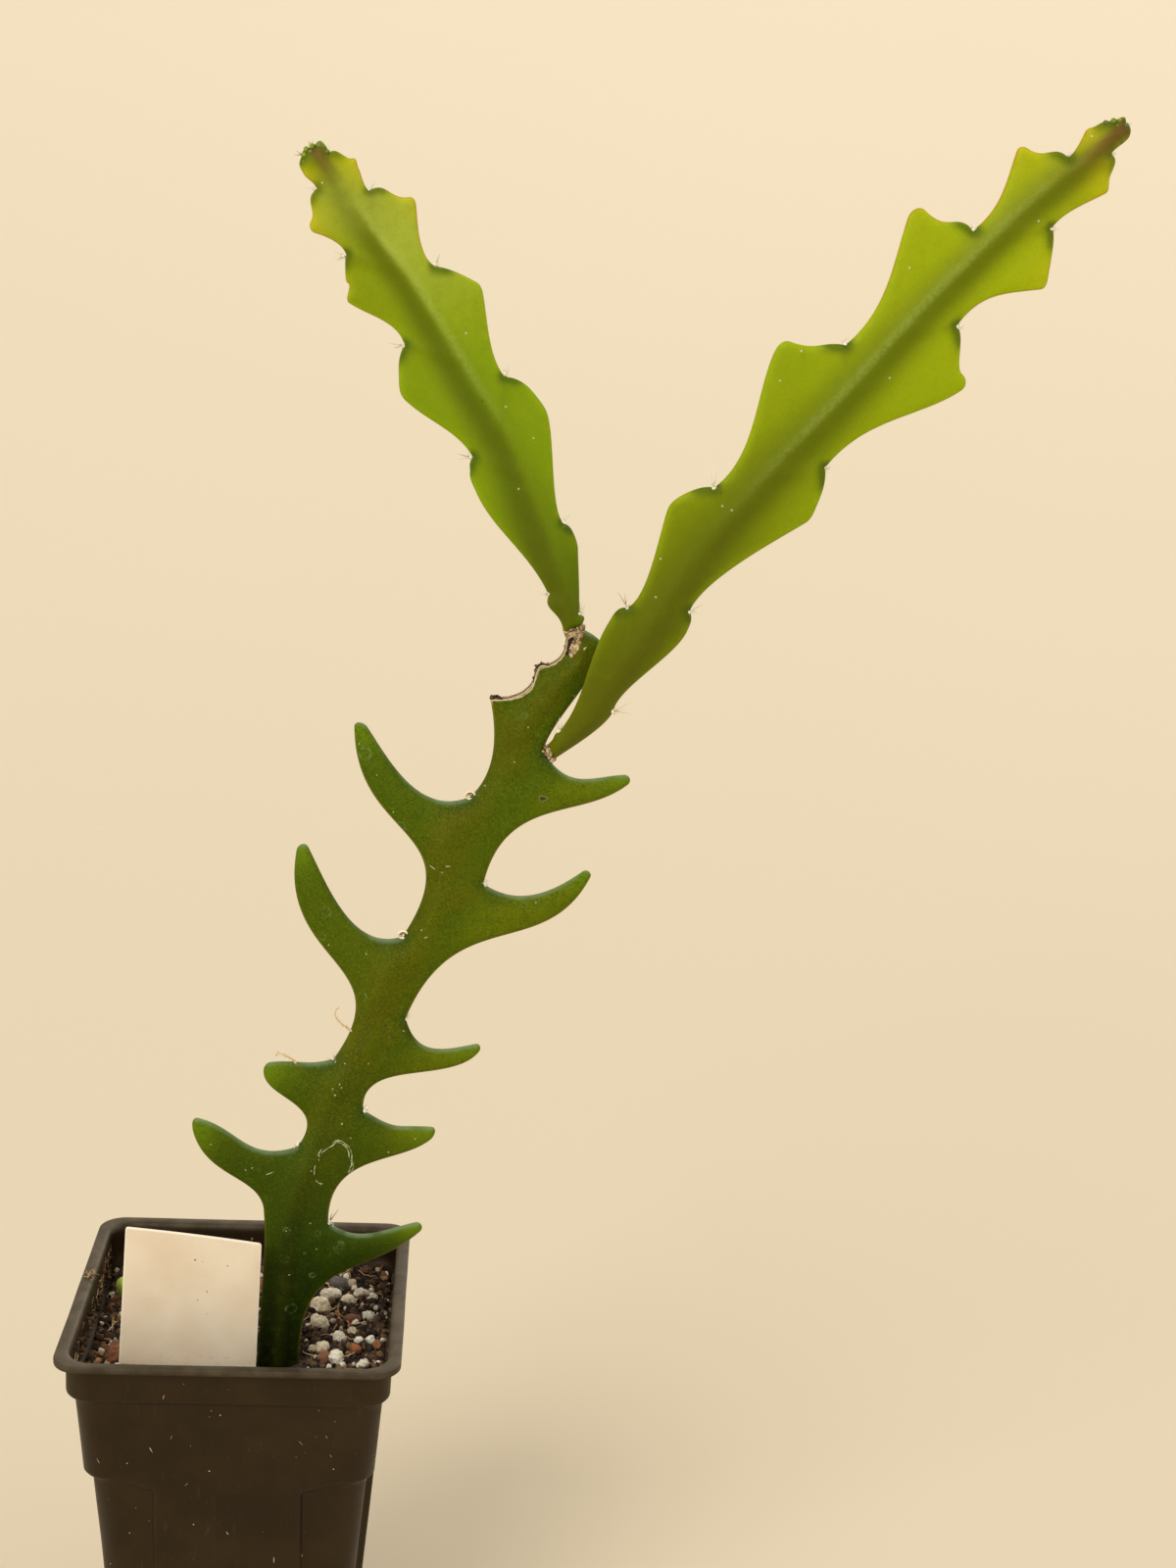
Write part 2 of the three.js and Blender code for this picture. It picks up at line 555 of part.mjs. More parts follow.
function makeLabel(grow = 0) {
  const corners = LABEL_CORNERS.map((pair) => new THREE.Vector2(...pair));
  const depth = LABEL_THICKNESS + 2 * grow;
  const outline = new THREE.Shape(moveOut(corners, grow * Math.SQRT2));
  const geometry = new THREE.ExtrudeGeometry(outline, { depth, bevelEnabled: false });
  geometry.translate(0, 0, -depth / 2);
  geometry.rotateX(90 * DEGREE);
  geometry.translate(0, LABEL_Y, 0);
  return geometry;
}

const GRAIN_ROUGHNESS = 0.13;
const GRAIN_TILT = 0.3;
// How far a grain's middle stands above the mix, as a share of its height
const GRAIN_RISE = 1 / 6;

// Irregular grain with flat facets: a ball with its corners pushed in and out, seeded by a number
function makeGrain({ seed, size, at, turn }, grow = 0) {
  const ball = new THREE.IcosahedronGeometry(1, 1);
  ball.deleteAttribute('normal');
  ball.deleteAttribute('uv');
  const grain = mergeVertices(ball, 1e-4);
  const place = grain.getAttribute('position');
  const p = new THREE.Vector3();
  for (let i = 0; i < place.count; i++) {
    p.fromBufferAttribute(place, i);
    const sideways = Math.sin(3.1 * p.x + seed) * Math.sin(2.7 * p.y + 2 * seed);
    const wave = sideways + 0.5 * Math.sin(5 * p.z + 3 * seed);
    p.multiplyScalar(1 + GRAIN_ROUGHNESS * wave);
    place.setXYZ(i, p.x, p.y, p.z);
  }
  grain.scale(...size.map((s) => s / 2 + grow));
  grain.rotateY(GRAIN_TILT * Math.sin(seed));
  grain.rotateZ(turn * DEGREE);
  grain.translate(...at);
  return grain;
}

// Grains that lie on the mix: [kind, x, y, length, width, height, turn in degrees]
const GRAINS = [
  ['pumice', 20.6, 14.2, 6.4, 5.6, 5, 20],
  ['pumice', 21, 3.6, 5.6, 5, 4.6, -30],
  ['pumice', 28.4, 17.6, 4.4, 4.2, 3.6, 10],
  ['pumice', 22.6, -8.6, 4, 3.6, 3.4, 50],
  ['pumice', 30.6, 0.8, 2.8, 2.6, 2.4, 0],
  ['perlite', 23.2, 20.8, 6.6, 3.6, 3.4, -15],
  ['perlite', 31.6, 22.4, 4.4, 3.2, 3, 35],
  ['perlite', 34.6, 9, 4, 3.2, 2.8, 40],
  ['perlite', 26.6, -3.2, 3.6, 4.4, 3.6, 70],
  ['perlite', 26.8, -14.6, 4.2, 5, 4, 15],
  ['perlite', 34.4, -18, 3.8, 3.2, 2.8, -20],
  ['perlite', 35.4, -4.6, 3.4, 2.8, 2.4, 15],
  ['perlite', 35.2, 20.6, 2.6, 3.4, 2.6, 80],
  ['pebble', 25.4, 27.6, 7.4, 4.6, 3.8, 12],
  ['bark', 30, 7.4, 4.6, 4.4, 2.6, 25],
  ['bark', 31.6, -9.6, 5, 3.2, 2.4, -35],
  ['bark', -32.2, -14.6, 9, 6, 4, 60],
  ['bark', -21, 12, 8, 4, 3, -40],
  ['bark', 2, 24, 9, 4.5, 3.2, 25],
  ['bark', -8, -6, 6, 3.6, 2.8, 75],
  ['perlite', -12, 22, 4.2, 3.6, 3, 10],
  ['perlite', -27, 27, 3.6, 3.2, 2.8, 55],
  ['perlite', 8, 9, 5, 4, 3.6, 30],
  ['perlite', -17, -12, 4.2, 3.4, 3, 5],
  ['pumice', -4, 10, 5.4, 4.6, 4, 65],
  ['pumice', 14, 31, 5, 4.4, 3.8, 45],
  ['pebble', -26, 0.5, 5.2, 4, 3.2, 20],
];

const GRAIN_MATERIALS = {
  pumice: { color: 0xd8cbb0, roughness: 0.9 },
  perlite: { color: 0xe9e4dc, roughness: 0.95 },
  pebble: { color: 0x6f6b69, roughness: 0.6 },
  bark: { color: 0x7a4526, roughness: 0.85 },
};

// Numbers the grains of each kind, beds them in the mix and gives each a seed
function listGrains() {
  const counts = {};
  return GRAINS.map(([kind, x, y, length, width, height, turn], index) => {
    counts[kind] = (counts[kind] ?? 0) + 1;
    const name = `${kind}_${String(counts[kind]).padStart(2, '0')}`;
    const at = [x, y, mixTop(x, y) + GRAIN_RISE * height];
    return { name, kind, seed: index + 1, size: [length, width, height], at, turn };
  });
}

// Small green sprout beside the label: a blunt curved bud that leans to the left
const SPROUT = {
  foot: [-31.5, 16, 106],
  top: [-35.2, 18, 119.4],
  radius: 2.6,
  flatness: 0.8,
  // Shares of the radius and of the length, from the foot to the top
  profile: [[0, 0], [0.45, 0.01], [0.6, 0.25], [0.85, 0.6], [1, 0.8], [0.75, 0.93], [0.4, 0.99], [0, 1]],
};

function makeSprout(grow = 0) {
  const foot = new THREE.Vector3(...SPROUT.foot);
  const top = new THREE.Vector3(...SPROUT.top);
  const length = foot.distanceTo(top);
  const points = SPROUT.profile.map(([r, t]) => {
    const radius = r === 0 ? 0 : r * SPROUT.radius + grow;
    return new THREE.Vector2(radius, t * length + (t - 0.5) * 2 * grow);
  });
  const bud = new THREE.LatheGeometry(points, 14);
  bud.scale(1, 1, SPROUT.flatness);
  const growth = top.clone().sub(foot).normalize();
  bud.applyQuaternion(new THREE.Quaternion().setFromUnitVectors(new THREE.Vector3(0, 1, 0), growth));
  bud.translate(foot.x, foot.y, foot.z);
  return bud;
}

// Dry aerial rootlets that grow out of the stem's left margin, as [across, along, out]
const AERIAL_ROOTLETS = [
  [[20, 94.5, 0], [17, 97, 0.6], [15, 98.5, 1.2], [14, 100, 1.2], [13.5, 101.5, 0.6], [14.5, 102.5, 0]],
  [[4.5, 85.5, 0], [3, 88, 0.8], [1, 89.5, 1.4], [-1, 90, 1], [-1.5, 89, 0.4]],
];
const ROOTLET_RADIUS = 0.4;

// Main stem with its aerial rootlets
function makeMainStem() {
  let stem = toSolid(makeStem(MAIN_STEM));
  for (const points of AERIAL_ROOTLETS) {
    const bent = points.map(([u, v, out]) => [u, v, MAIN_STEM.bend(u, v) + out]);
    stem = stem.add(toSolid(makeStrand(bent, ROOTLET_RADIUS, 8)));
  }
  return toGeometry(stem);
}

const object = new THREE.Group();

function addPiece(name, geometry, { color, roughness }, parent = object) {
  const material = new THREE.MeshStandardMaterial({ color, roughness, metalness: 0 });
  const mesh = new THREE.Mesh(weld(geometry), material);
  mesh.name = name;
  parent.add(mesh);
  return mesh;
}

// Geometry of a placed stem in the frame of the whole object
function placedGeometry(geometry, place) {
  const holder = new THREE.Object3D();
  placeStem(holder, place);
  return geometry.clone().applyMatrix4(holder.matrixWorld);
}

const grains = listGrains();
const bedded = [
  placedGeometry(makeStem(MAIN_STEM, GAP, BEDDED_HEIGHT), MAIN_STEM.place),
  makeRoots(GAP),
  makeLabel(GAP),
  makeSprout(GAP),
  ...grains.map((grain) => makeGrain(grain, GAP)),
];

addPiece('pot', makePot(), { color: 0x2d2620, roughness: 0.55 });
addPiece('potting_mix', makePottingMix(bedded), { color: 0x2b1c12, roughness: 0.95 });
const plant = new THREE.Group();
object.add(plant);
placeStem(addPiece('main_stem', makeMainStem(), MAIN_STEM.material, plant), MAIN_STEM.place);
placeStem(addPiece('left_shoot', makeStem(LEFT_SHOOT), LEFT_SHOOT.material, plant), LEFT_SHOOT.place);
placeStem(addPiece('right_shoot', makeStem(RIGHT_SHOOT), RIGHT_SHOOT.material, plant), RIGHT_SHOOT.place);
addPiece('roots', makeRoots(), { color: 0xb39a6d, roughness: 0.9 }, plant);
addPiece('sprout', makeSprout(), { color: 0x6f9a2c, roughness: 0.5 });
addPiece('plant_label', makeLabel(), { color: 0xeee6da, roughness: 0.5 });
for (const grain of grains) {
  addPiece(grain.name, makeGrain(grain), GRAIN_MATERIALS[grain.kind]);
}

export default object;
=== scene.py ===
"""Potted ric rac cactus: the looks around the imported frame.

Shapes are built in millimetres in the frame's own axes and scaled to metres at the end.
"""

import math

import bmesh
import bpy
import numpy as np
from mathutils import Matrix, Vector, noise
from mathutils.bvhtree import BVHTree
from mathutils.geometry import delaunay_2d_cdt


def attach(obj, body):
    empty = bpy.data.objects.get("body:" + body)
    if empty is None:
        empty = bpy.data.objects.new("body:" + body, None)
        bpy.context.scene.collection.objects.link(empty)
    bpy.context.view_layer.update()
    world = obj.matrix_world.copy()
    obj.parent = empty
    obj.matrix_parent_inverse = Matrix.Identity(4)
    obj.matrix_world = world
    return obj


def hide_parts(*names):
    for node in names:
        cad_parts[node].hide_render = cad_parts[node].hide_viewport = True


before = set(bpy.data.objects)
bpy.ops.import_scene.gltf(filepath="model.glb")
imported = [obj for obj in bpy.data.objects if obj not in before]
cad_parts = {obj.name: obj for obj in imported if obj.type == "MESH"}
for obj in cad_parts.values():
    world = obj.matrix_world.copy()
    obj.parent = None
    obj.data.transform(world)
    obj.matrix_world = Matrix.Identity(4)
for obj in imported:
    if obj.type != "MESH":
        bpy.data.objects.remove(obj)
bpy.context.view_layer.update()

MM = 0.001
FULL_TURN = 2 * math.pi


def unit(vector):
    return vector / np.linalg.norm(vector)


def smoothstep(value, low, high):
    share = np.clip((value - low) / (high - low), 0, 1)
    return share * share * (3 - 2 * share)


def wander(points, size, seed):
    """Soft noise between about -1 and 1 at each point, with lumps about size wide."""
    shift = Vector((seed * 17.3, seed * 5.1, seed * 9.7))
    return np.array([noise.noise(Vector(p) / size + shift) for p in np.asarray(points, float)])


def raised(points, z=0.0):
    """Flat points at a height."""
    return np.c_[points, np.full(len(points), float(z))]


def circle(count):
    """Evenly spaced points of a circle of radius 1."""
    angles = np.arange(count) * FULL_TURN / count
    return np.stack([np.cos(angles), np.sin(angles)], axis=1)


def add_object(name, paint, points, faces, smooth=True):
    """Makes a mesh object from points in metres."""
    mesh = bpy.data.meshes.new(name)
    mesh.from_pydata(np.asarray(points).tolist(), [], np.asarray(faces).tolist())
    mesh.polygons.foreach_set("use_smooth", [smooth] * len(mesh.polygons))
    mesh.materials.append(paint.material)
    made = bpy.data.objects.new(name, mesh)
    bpy.context.collection.objects.link(made)
    return made


def add_piece(name, node, paint, points, faces, values=None, smooth=True):
    """Makes a piece that stands for a node of the frame, with a value or vector at each point."""
    piece = add_object(name, PAINTS[paint], np.asarray(points) * MM, faces, smooth)
    for key, value in (values or {}).items():
        vector = value.ndim == 2
        layer = piece.data.attributes.new(key, "FLOAT_VECTOR" if vector else "FLOAT", "POINT")
        layer.data.foreach_set("vector" if vector else "value", value.astype(np.float32).ravel())
    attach(piece, "root")
    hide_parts(node)
    return piece


class Heap:
    """Many small shapes that end up in one mesh, and the random numbers that vary them."""

    def __init__(self, seed=0):
        self.rng = np.random.default_rng(seed)
        self.points = []
        self.faces = []
        self.shades = []
        self.count = 0

    def add(self, shape, at=0.0, shade=0.0):
        points, faces = shape
        self.points.append(np.asarray(points, float) + at)
        self.faces.append(np.asarray(faces) + self.count)
        self.shades.append(np.full(len(points), float(shade)))
        self.count += len(points)

    def merged(self):
        return np.vstack(self.points), np.vstack(self.faces)

    def piece(self, name, node, paint, smooth=True):
        shades = {"shade": np.concatenate(self.shades)}
        return add_piece(name, node, paint, *self.merged(), shades, smooth)


def bridge(rings):
    """Faces between rings of equal length."""
    count = len(rings[0])
    faces = []
    for first in range(0, (len(rings) - 1) * count, count):
        for i in range(count):
            a, b = first + i, first + (i + 1) % count
            faces += [(a, b, b + count), (a, b + count, a + count)]
    return faces


def closed_rings(rings, low, high):
    """Skin over rings of equal length, gathered in a point at each end."""
    count = len(rings[0])
    points = np.vstack(rings + [low, high])
    last = (len(rings) - 1) * count
    faces = bridge(rings)
    for i in range(count):
        j = (i + 1) % count
        faces += [(len(points) - 2, j, i), (len(points) - 1, last + i, last + j)]
    return points, faces


def tube(path, radii, sides=5):
    """Round tube along points, closed at both ends."""
    path = np.asarray(path, float)
    along = np.gradient(path, axis=0)
    along /= np.linalg.norm(along, axis=1)[:, None]
    start = np.array([0.0, 0.0, 1.0]) if abs(along[0][2]) < 0.9 else np.array([1.0, 0.0, 0.0])
    side = unit(np.cross(along[0], start))
    section = circle(sides)
    rings = []
    for centre, direction, radius in zip(path, along, np.broadcast_to(radii, len(path))):
        side = unit(side - direction * side.dot(direction))
        rings.append(centre + radius * section @ np.array([side, np.cross(direction, side)]))
    return closed_rings(rings, path[0], path[-1])


def bowed(middle, along, bow, count):
    """Points of a short bent thread: its middle, half its length as a vector, and its bow."""
    share = np.linspace(-1, 1, count)[:, None]
    return middle + share * along + (1 - share**2) * bow


def ball(subdivisions):
    """Corners and faces of a ball with radius 1."""
    shape = bmesh.new()
    bmesh.ops.create_icosphere(shape, subdivisions=subdivisions, radius=1)
    points = np.array([v.co for v in shape.verts])
    faces = np.array([[v.index for v in f.verts] for f in shape.faces])
    shape.free()
    return points, faces


BALLS = {level: ball(level) for level in (1, 2, 3)}


def lump(rng, size, roughness, level=2):
    """Irregular lump of a size along its three axes, turned at random."""
    points, faces = BALLS[level]
    waves = rng.normal(size=(5, 3)) * 1.9
    swell = np.sin(points @ waves.T + rng.uniform(0, 6.3, 5)).mean(axis=1)
    turn = Matrix.Rotation(rng.uniform(0, 6.3), 3, Vector(rng.normal(size=3)).normalized())
    corners = rng.normal(0, 0.3 * roughness, points.shape)
    shaped = (points * (1 + roughness * 2 * swell[:, None]) + corners) * np.asarray(size) / 2
    return shaped @ np.array(turn).T, faces


def cubic(start, first, second, end, step):
    """Evenly spaced points along a cubic curve, without its first point."""
    t = np.linspace(0, 1, 80)[:, None]
    curve = (1 - t) ** 3 * start + 3 * (1 - t) ** 2 * t * first + 3 * (1 - t) * t * t * second + t**3 * end
    return respaced(curve, step)[1:]


def respaced(run, step, least=2):
    """The same line with its points evenly spaced."""
    length = np.r_[0, np.cumsum(np.linalg.norm(np.diff(run, axis=0), axis=1))]
    count = max(least, round(length[-1] / step))
    places = np.linspace(0, length[-1], count + 1)
    return np.stack([np.interp(places, length, axis) for axis in run.T], axis=1)


def through(points, step):
    """Smooth line through points, evenly spaced."""
    points = np.asarray(points, float)
    ends = np.vstack([2 * points[0] - points[1], points, 2 * points[-1] - points[-2]])
    t = np.linspace(0, 1, 16, endpoint=False)[:, None]
    line = []
    for a, b, c, d in zip(ends, ends[1:], ends[2:], ends[3:]):
        turn = (2 * a - 5 * b + 4 * c - d) * t**2 + (3 * b - a - 3 * c + d) * t**3
        line.append(0.5 * (2 * b + (c - a) * t + turn))
    return respaced(np.vstack(line + [points[-1:]]), step)


def round_tip(before, tip_in, tip_out, after, step):
    """Arc-like curve from one edge of a tip to the other, without a kink."""
    leave = unit(tip_in - before)
    join = unit(tip_out - after)
    turn = math.pi - math.acos(np.clip(leave @ join, -1, 1))
    radius = np.linalg.norm(tip_in - tip_out) / (2 * math.sin(turn / 2))
    reach = 4 / 3 * math.tan(turn / 4) * radius
    return cubic(tip_in, tip_in + leave * reach, tip_out + join * reach, tip_out, step / 2)


def by_parts(points, measure, most=800):
    """Measures a few hundred points at a time, which spares memory."""
    return np.concatenate([measure(points[i : i + most]) for i in range(0, len(points), most)])


def nearest(points, targets):
    """Number of the target that lies nearest to each point."""
    return by_parts(points, lambda some: ((some[:, None] - targets) ** 2).sum(2).argmin(1))


def distance_to_run(points, run, closed=False):
    """Shortest distance from each point to a line of straight pieces."""
    start = run if closed else run[:-1]
    along = (np.roll(run, -1, axis=0) if closed else run[1:]) - start

    def shortest(some):
        to = some[:, None] - start
        share = np.clip((to * along).sum(2) / (along**2).sum(1), 0, 1)
        return np.sqrt(((to - share[..., None] * along) ** 2).sum(2).min(1))

    return by_parts(points, shortest)


def is_inside(points, run):
    """True for each point that lies inside a closed line."""
    x, y = points[:, :1], points[:, 1:]
    x1, y1 = run.T
    x2, y2 = np.roll(run, -1, axis=0).T
    crosses = (y1 > y) != (y2 > y)
    rise = np.where(y2 == y1, 1, y2 - y1)
    return (crosses & (x < x1 + (x2 - x1) * (y - y1) / rise)).sum(1) % 2 == 1


def left_of(along):
    """Directions of length 1, a quarter turn to the left."""
    left = np.stack([-along[:, 1], along[:, 0]], axis=1)
    return left / np.maximum(np.linalg.norm(left, axis=1), 1e-9)[:, None]


def moved_in(run, distance):
    """A closed anticlockwise line moved inwards."""
    return run + distance * left_of(np.roll(run, -1, axis=0) - np.roll(run, 1, axis=0))


def spread(run, step, clearance):
    """Points on a slightly shaken grid inside a closed line."""
    low, high = run.min(0), run.max(0)
    points = [
        (x + 0.12 * step * math.sin(5 * y + x), y + 0.12 * step * math.sin(7 * x - y))
        for row, y in enumerate(np.arange(low[1], high[1], step * 0.87))
        for x in np.arange(low[0] + (row % 2) * step / 2, high[0], step)
    ]
    points = np.array(points)
    points = points[is_inside(points, run)]
    return points[distance_to_run(points, run, True) > clearance]


def thinned(points, fixed, spacing):
    """Drops the points that lie closer than spacing to a fixed or an earlier point."""
    taken = {}
    kept = []

    def cell(point):
        return int(point[0] // spacing), int(point[1] // spacing)

    for point in fixed:
        taken.setdefault(cell(point), []).append(point)
    for point in points:
        column, row = cell(point)
        around = [(column + i, row + j) for i in (-1, 0, 1) for j in (-1, 0, 1)]
        gaps = (math.dist(point, other) for key in around for other in taken.get(key, ()))
        if min(gaps, default=spacing) >= spacing:
            kept.append(point)
            taken.setdefault((column, row), []).append(point)
    return np.array(kept).reshape(-1, 2)


def cover(outline, inner):
    """Triangles over a closed line and the points inside it."""
    flat = [Vector(p) for p in np.vstack([outline, inner])]
    found = delaunay_2d_cdt(flat, [], [list(range(len(outline)))], 1, 1e-5)
    return np.array([v[:] for v in found[0]]), np.array(found[2])


def two_sides(front, on_rim, back=None):
    """Rows of the front sheet followed by those of the back sheet, which shares the rim."""
    return np.concatenate([front, (front if back is None else back)[~on_rim]])


def two_sheets(faces, on_rim):
    """Faces of a front sheet and of the back sheet that shares its rim."""
    count = len(on_rim)
    back = np.where(on_rim, np.arange(count), count + np.cumsum(~on_rim) - 1)
    return np.vstack([faces, back[faces][:, ::-1]])


def round_edge(depth, radius):
    """Rise of a quarter circle over the depth inside an edge, as a share of its radius."""
    return np.sqrt(1 - (1 - np.minimum(depth / radius, 1)) ** 2)


def walk_side(start, stretches, step):
    """Points along one side of a stem, with its tips, its shoulders and its areoles."""
    points, tips, shoulders, areoles = [], [], [], []
    here = start
    for stretch in stretches:
        first, second, tip_in, *over = np.array(stretch, float)
        points.append(cubic(here, first, second, tip_in, step))
        if over:
            tip_out, back1, back2, end = over
            tips.append(round_tip(second, tip_in, tip_out, back1, step))
            shoulders.append(cubic(tip_out, back1, back2, end, step))
            points += [tips[-1], shoulders[-1]]
        here = over[-1] if over else tip_in
        areoles.append(here)
    return np.vstack(points), tips, shoulders, areoles


# Share of a stem's margin thickness that the round rim takes; the rest rises softly inside it
RIM_SHARE = 0.7
# Rings of points follow the rim at these degrees of its round
RIM_RINGS = (16, 30, 46, 62, 80)
# Outwards from an areole is away from the midrib's point this far below it
OUTWARD_DROP = 6
# A side rib leaves the midrib this far below its areole; its width and rise are shares of the midrib's
VEIN_DROP = 9
VEIN_WIDTH = 0.55
VEIN_RISE = 0.28
SHOULDER_RISE = 0.3
# How far the colour of a lobe's tip reaches
TIP_REACH = 7


class Stem:
    """A flat stem traced in its own plane, in millimetres: u runs across it and v along it.

    A stretch of margin is two handles and an end. A lobe's stretch goes on from the first edge of
    its tip to the second one, and over two handles to the areole above the lobe. The size of the
    thick shoulders under the areoles is their reach down the lobe and their width.
    """

    margin = 1.05
    rib = 1.2
    rib_width = 3
    step = 0.6
    sway = 0.3
    # The blade leaves its plane in an arch along v and in a twist about v = pivot
    arch = ()
    slant = 0
    # The dark band of painted shade beside the midrib: its side and width, then its shift and its strength
    # along the stem
    band_side = 1
    band_scale = 1
    band_shift = [(0, 0), (1, 0)]
    band = [(0, 0.6), (1, 0.6)]
    # Painted sheen on the pale side, ripe colour and fresh green along the stem
    pale = [(0, 0), (1, 0)]
    ripeness = [(0, 0), (1, 1)]
    fresh = [(0, 0), (1, 0)]

    def __init__(self, **traced):
        for name, value in traced.items():
            setattr(self, name, value)
        base = np.array(self.base, float)
        left, left_tips, left_shoulders, left_areoles = walk_side(base[0], self.left, self.step)
        right, right_tips, right_shoulders, right_areoles = walk_side(base[-1], self.right, self.step)
        bottom = [respaced(base[i : i + 2], self.step, 1)[:-1] for i in range(len(base) - 1)]
        outline = np.vstack(bottom + [base[-1:], right, left[::-1]])
        gap = np.linalg.norm(outline - np.roll(outline, 1, axis=0), axis=1)
        self.outline = outline[gap > 0.12]
        self.tips = np.vstack(left_tips + right_tips)
        self.shoulders = left_shoulders + right_shoulders
        self.areoles = left_areoles + right_areoles
        self.rib_line = through(self.midrib, 1.0)
        self.length = outline[:, 1].max()

    def stand(self, points):
        """Points from the stem's own axes to the frame's."""
        turn = Matrix.Rotation(math.radians(90 + self.forward), 3, "X")
        turn = turn @ Matrix.Rotation(math.radians(-self.lean), 3, "Z")
        return np.asarray(points, float) @ np.array(turn).T + np.array(self.origin, float)

    def bend(self, u, v):
        """How far the middle surface lies before the stem's plane."""
        arch = sum(share * v**power for power, share in enumerate(self.arch, 1))
        return arch + self.twist * (u - self.slant * v) * (v - self.pivot)

    def at(self, u, v, out=0.0):
        """Place on or before the middle surface."""
        return self.stand([[u, v, self.bend(u, v) + out]])[0]

    def front(self, u, v, out=0.0):
        """Place on or before the front skin."""
        hit = self.skin.ray_cast(Vector((u, v, 60)), Vector((0, 0, -1)))[0]
        return self.at(u, v, out) if hit is None else self.stand([[u, v, hit.z + out]])[0]

    def rib_near(self, v):
        """Point of the midrib at about this height."""
        return self.rib_line[np.abs(self.rib_line[:, 1] - v).argmin()]

    def outward(self, place):
        """Direction that points out of the margin at an areole, and a little up."""
        return unit(place - self.rib_near(place[1] - OUTWARD_DROP))

    def rib_offset(self, points):
        """Distance of each point from the midrib, positive on its right side."""
        closest = nearest(points, self.rib_line)
        along = np.gradient(self.rib_line, axis=0)[closest]
        to = points - self.rib_line[closest]
        side = np.sign(along[:, 1] * to[:, 0] - along[:, 0] * to[:, 1])
        return side * distance_to_run(points, self.rib_line)

    def veins(self, points):
        """Near 1 over the low side ribs that run from the midrib up to each areole."""
        best = np.zeros(len(points))
        for place in self.areoles:
            away = distance_to_run(points, np.array([self.rib_near(place[1] - VEIN_DROP), place]))
            best = np.maximum(best, np.exp(-((away / (VEIN_WIDTH * self.rib_width)) ** 2)))
        return best

    def thick_shoulders(self, points):
        """Near 1 under each areole, fading out down the lobe's upper edge and away from it."""
        reach, width = self.shoulder_size
        best = np.zeros(len(points))
        for run in self.shoulders:
            back = run[::-1]
            length = np.r_[0, np.cumsum(np.linalg.norm(np.diff(back, axis=0), axis=1))]
            for place, gone in zip(back[length <= reach], length):
                weight = smoothstep(gone, reach, 0.35 * reach)
                best = np.maximum(best, weight * np.exp(-(((points - place) ** 2).sum(1) / width**2)))
        return best

    def inner_points(self):
        """Points inside the outline: rings that follow the round margin, then a grid."""
        layers = []
        for angle in RIM_RINGS:
            depth = RIM_SHARE * self.margin * (1 - math.cos(math.radians(angle)))
            ring = moved_in(self.outline, depth)
            ring = ring[is_inside(ring, self.outline)]
            layers.append(ring[distance_to_run(ring, self.outline, True) > 0.9 * depth])
        layers.append(spread(self.outline, self.grid, self.margin))
        first = layers.pop(0)
        return np.vstack([first, thinned(np.vstack(layers), first, 0.28 * self.grid)])


MAIN = Stem(
    node="main_stem",
    base=[(-5.3, 0), (-5, -12), (-4, -24), (-1.5, -30), (1.5, -30), (4, -24), (5.5, -12), (6, 0)],
    left=[
        [(-5, 14), (-3, 34), (-4, 45)],
        [(-4, 56), (-18, 54), (-22.5, 67), (-21.5, 71.5), (-11, 69), (-9, 59), (4.5, 64)],
        [(12.5, 75.5), (-2, 76.5), (-4.5, 83), (-3, 87), (3.5, 88), (7.5, 86), (13.5, 88.5)],
        [(31.5, 115.5), (-2, 113.5), (2.5, 143.5), (5.5, 144.5), (10.5, 135.5), (17.5, 117), (30.5, 122)],
        [(48.5, 152), (17.5, 146.5), (16.5, 176), (20, 176), (26, 167.5), (34, 154), (46.5, 159.5)],
        [(52, 164.5), (54, 173), (51, 185.5)],
        [(58.5, 185.5), (62, 188.5), (63, 194.5)],
        [(66, 194.5), (69.5, 196.5), (69.5, 200.5)],
        [(69.5, 202.5), (71.5, 204), (74, 204)],
    ],
    right=[
        [(5, 34.5), (23, 25.5), (37.5, 40), (36, 42.5), (28, 40.5), (20.5, 36), (13, 42.5)],
        [(12.5, 62.5), (31, 59), (39.5, 66.5), (39.5, 70), (29.5, 70.5), (30.5, 68.5), (21.5, 74.5)],
        [(20.5, 89.5), (44.5, 81.5), (51.5, 91.5), (50.5, 93.5), (42.5, 91.5), (35, 89), (32, 100)],
        [(44, 132.5), (67.5, 116), (78.5, 140), (76.5, 141.5), (69, 135.5), (60.5, 131), (51, 137)],
        [(56, 161), (74.5, 154.5), (87, 165), (86, 167.5), (77, 166.5), (72, 162.5), (65, 172.5)],
        [(67, 181), (77, 190), (79, 199.5)],
        [(79, 202), (76.5, 203), (74.5, 204)],
    ],
    midrib=[
        (0, -30), (0.5, 2), (2, 22), (4, 42), (10, 63), (16.5, 83), (23, 100),
        (30, 117), (37.5, 137), (45, 155), (55, 172), (65.5, 189), (74, 203),
    ],
    origin=(11, -17, 111),
    lean=0,
    forward=-2,
    twist=0.0013,
    slant=0.42,
    pivot=95,
    margin=2.2,
    rib=1.5,
    rib_width=5,
    step=0.9,
    grid=1.3,
    sway=0.35,
    shoulder_size=(9, 2.4),
)

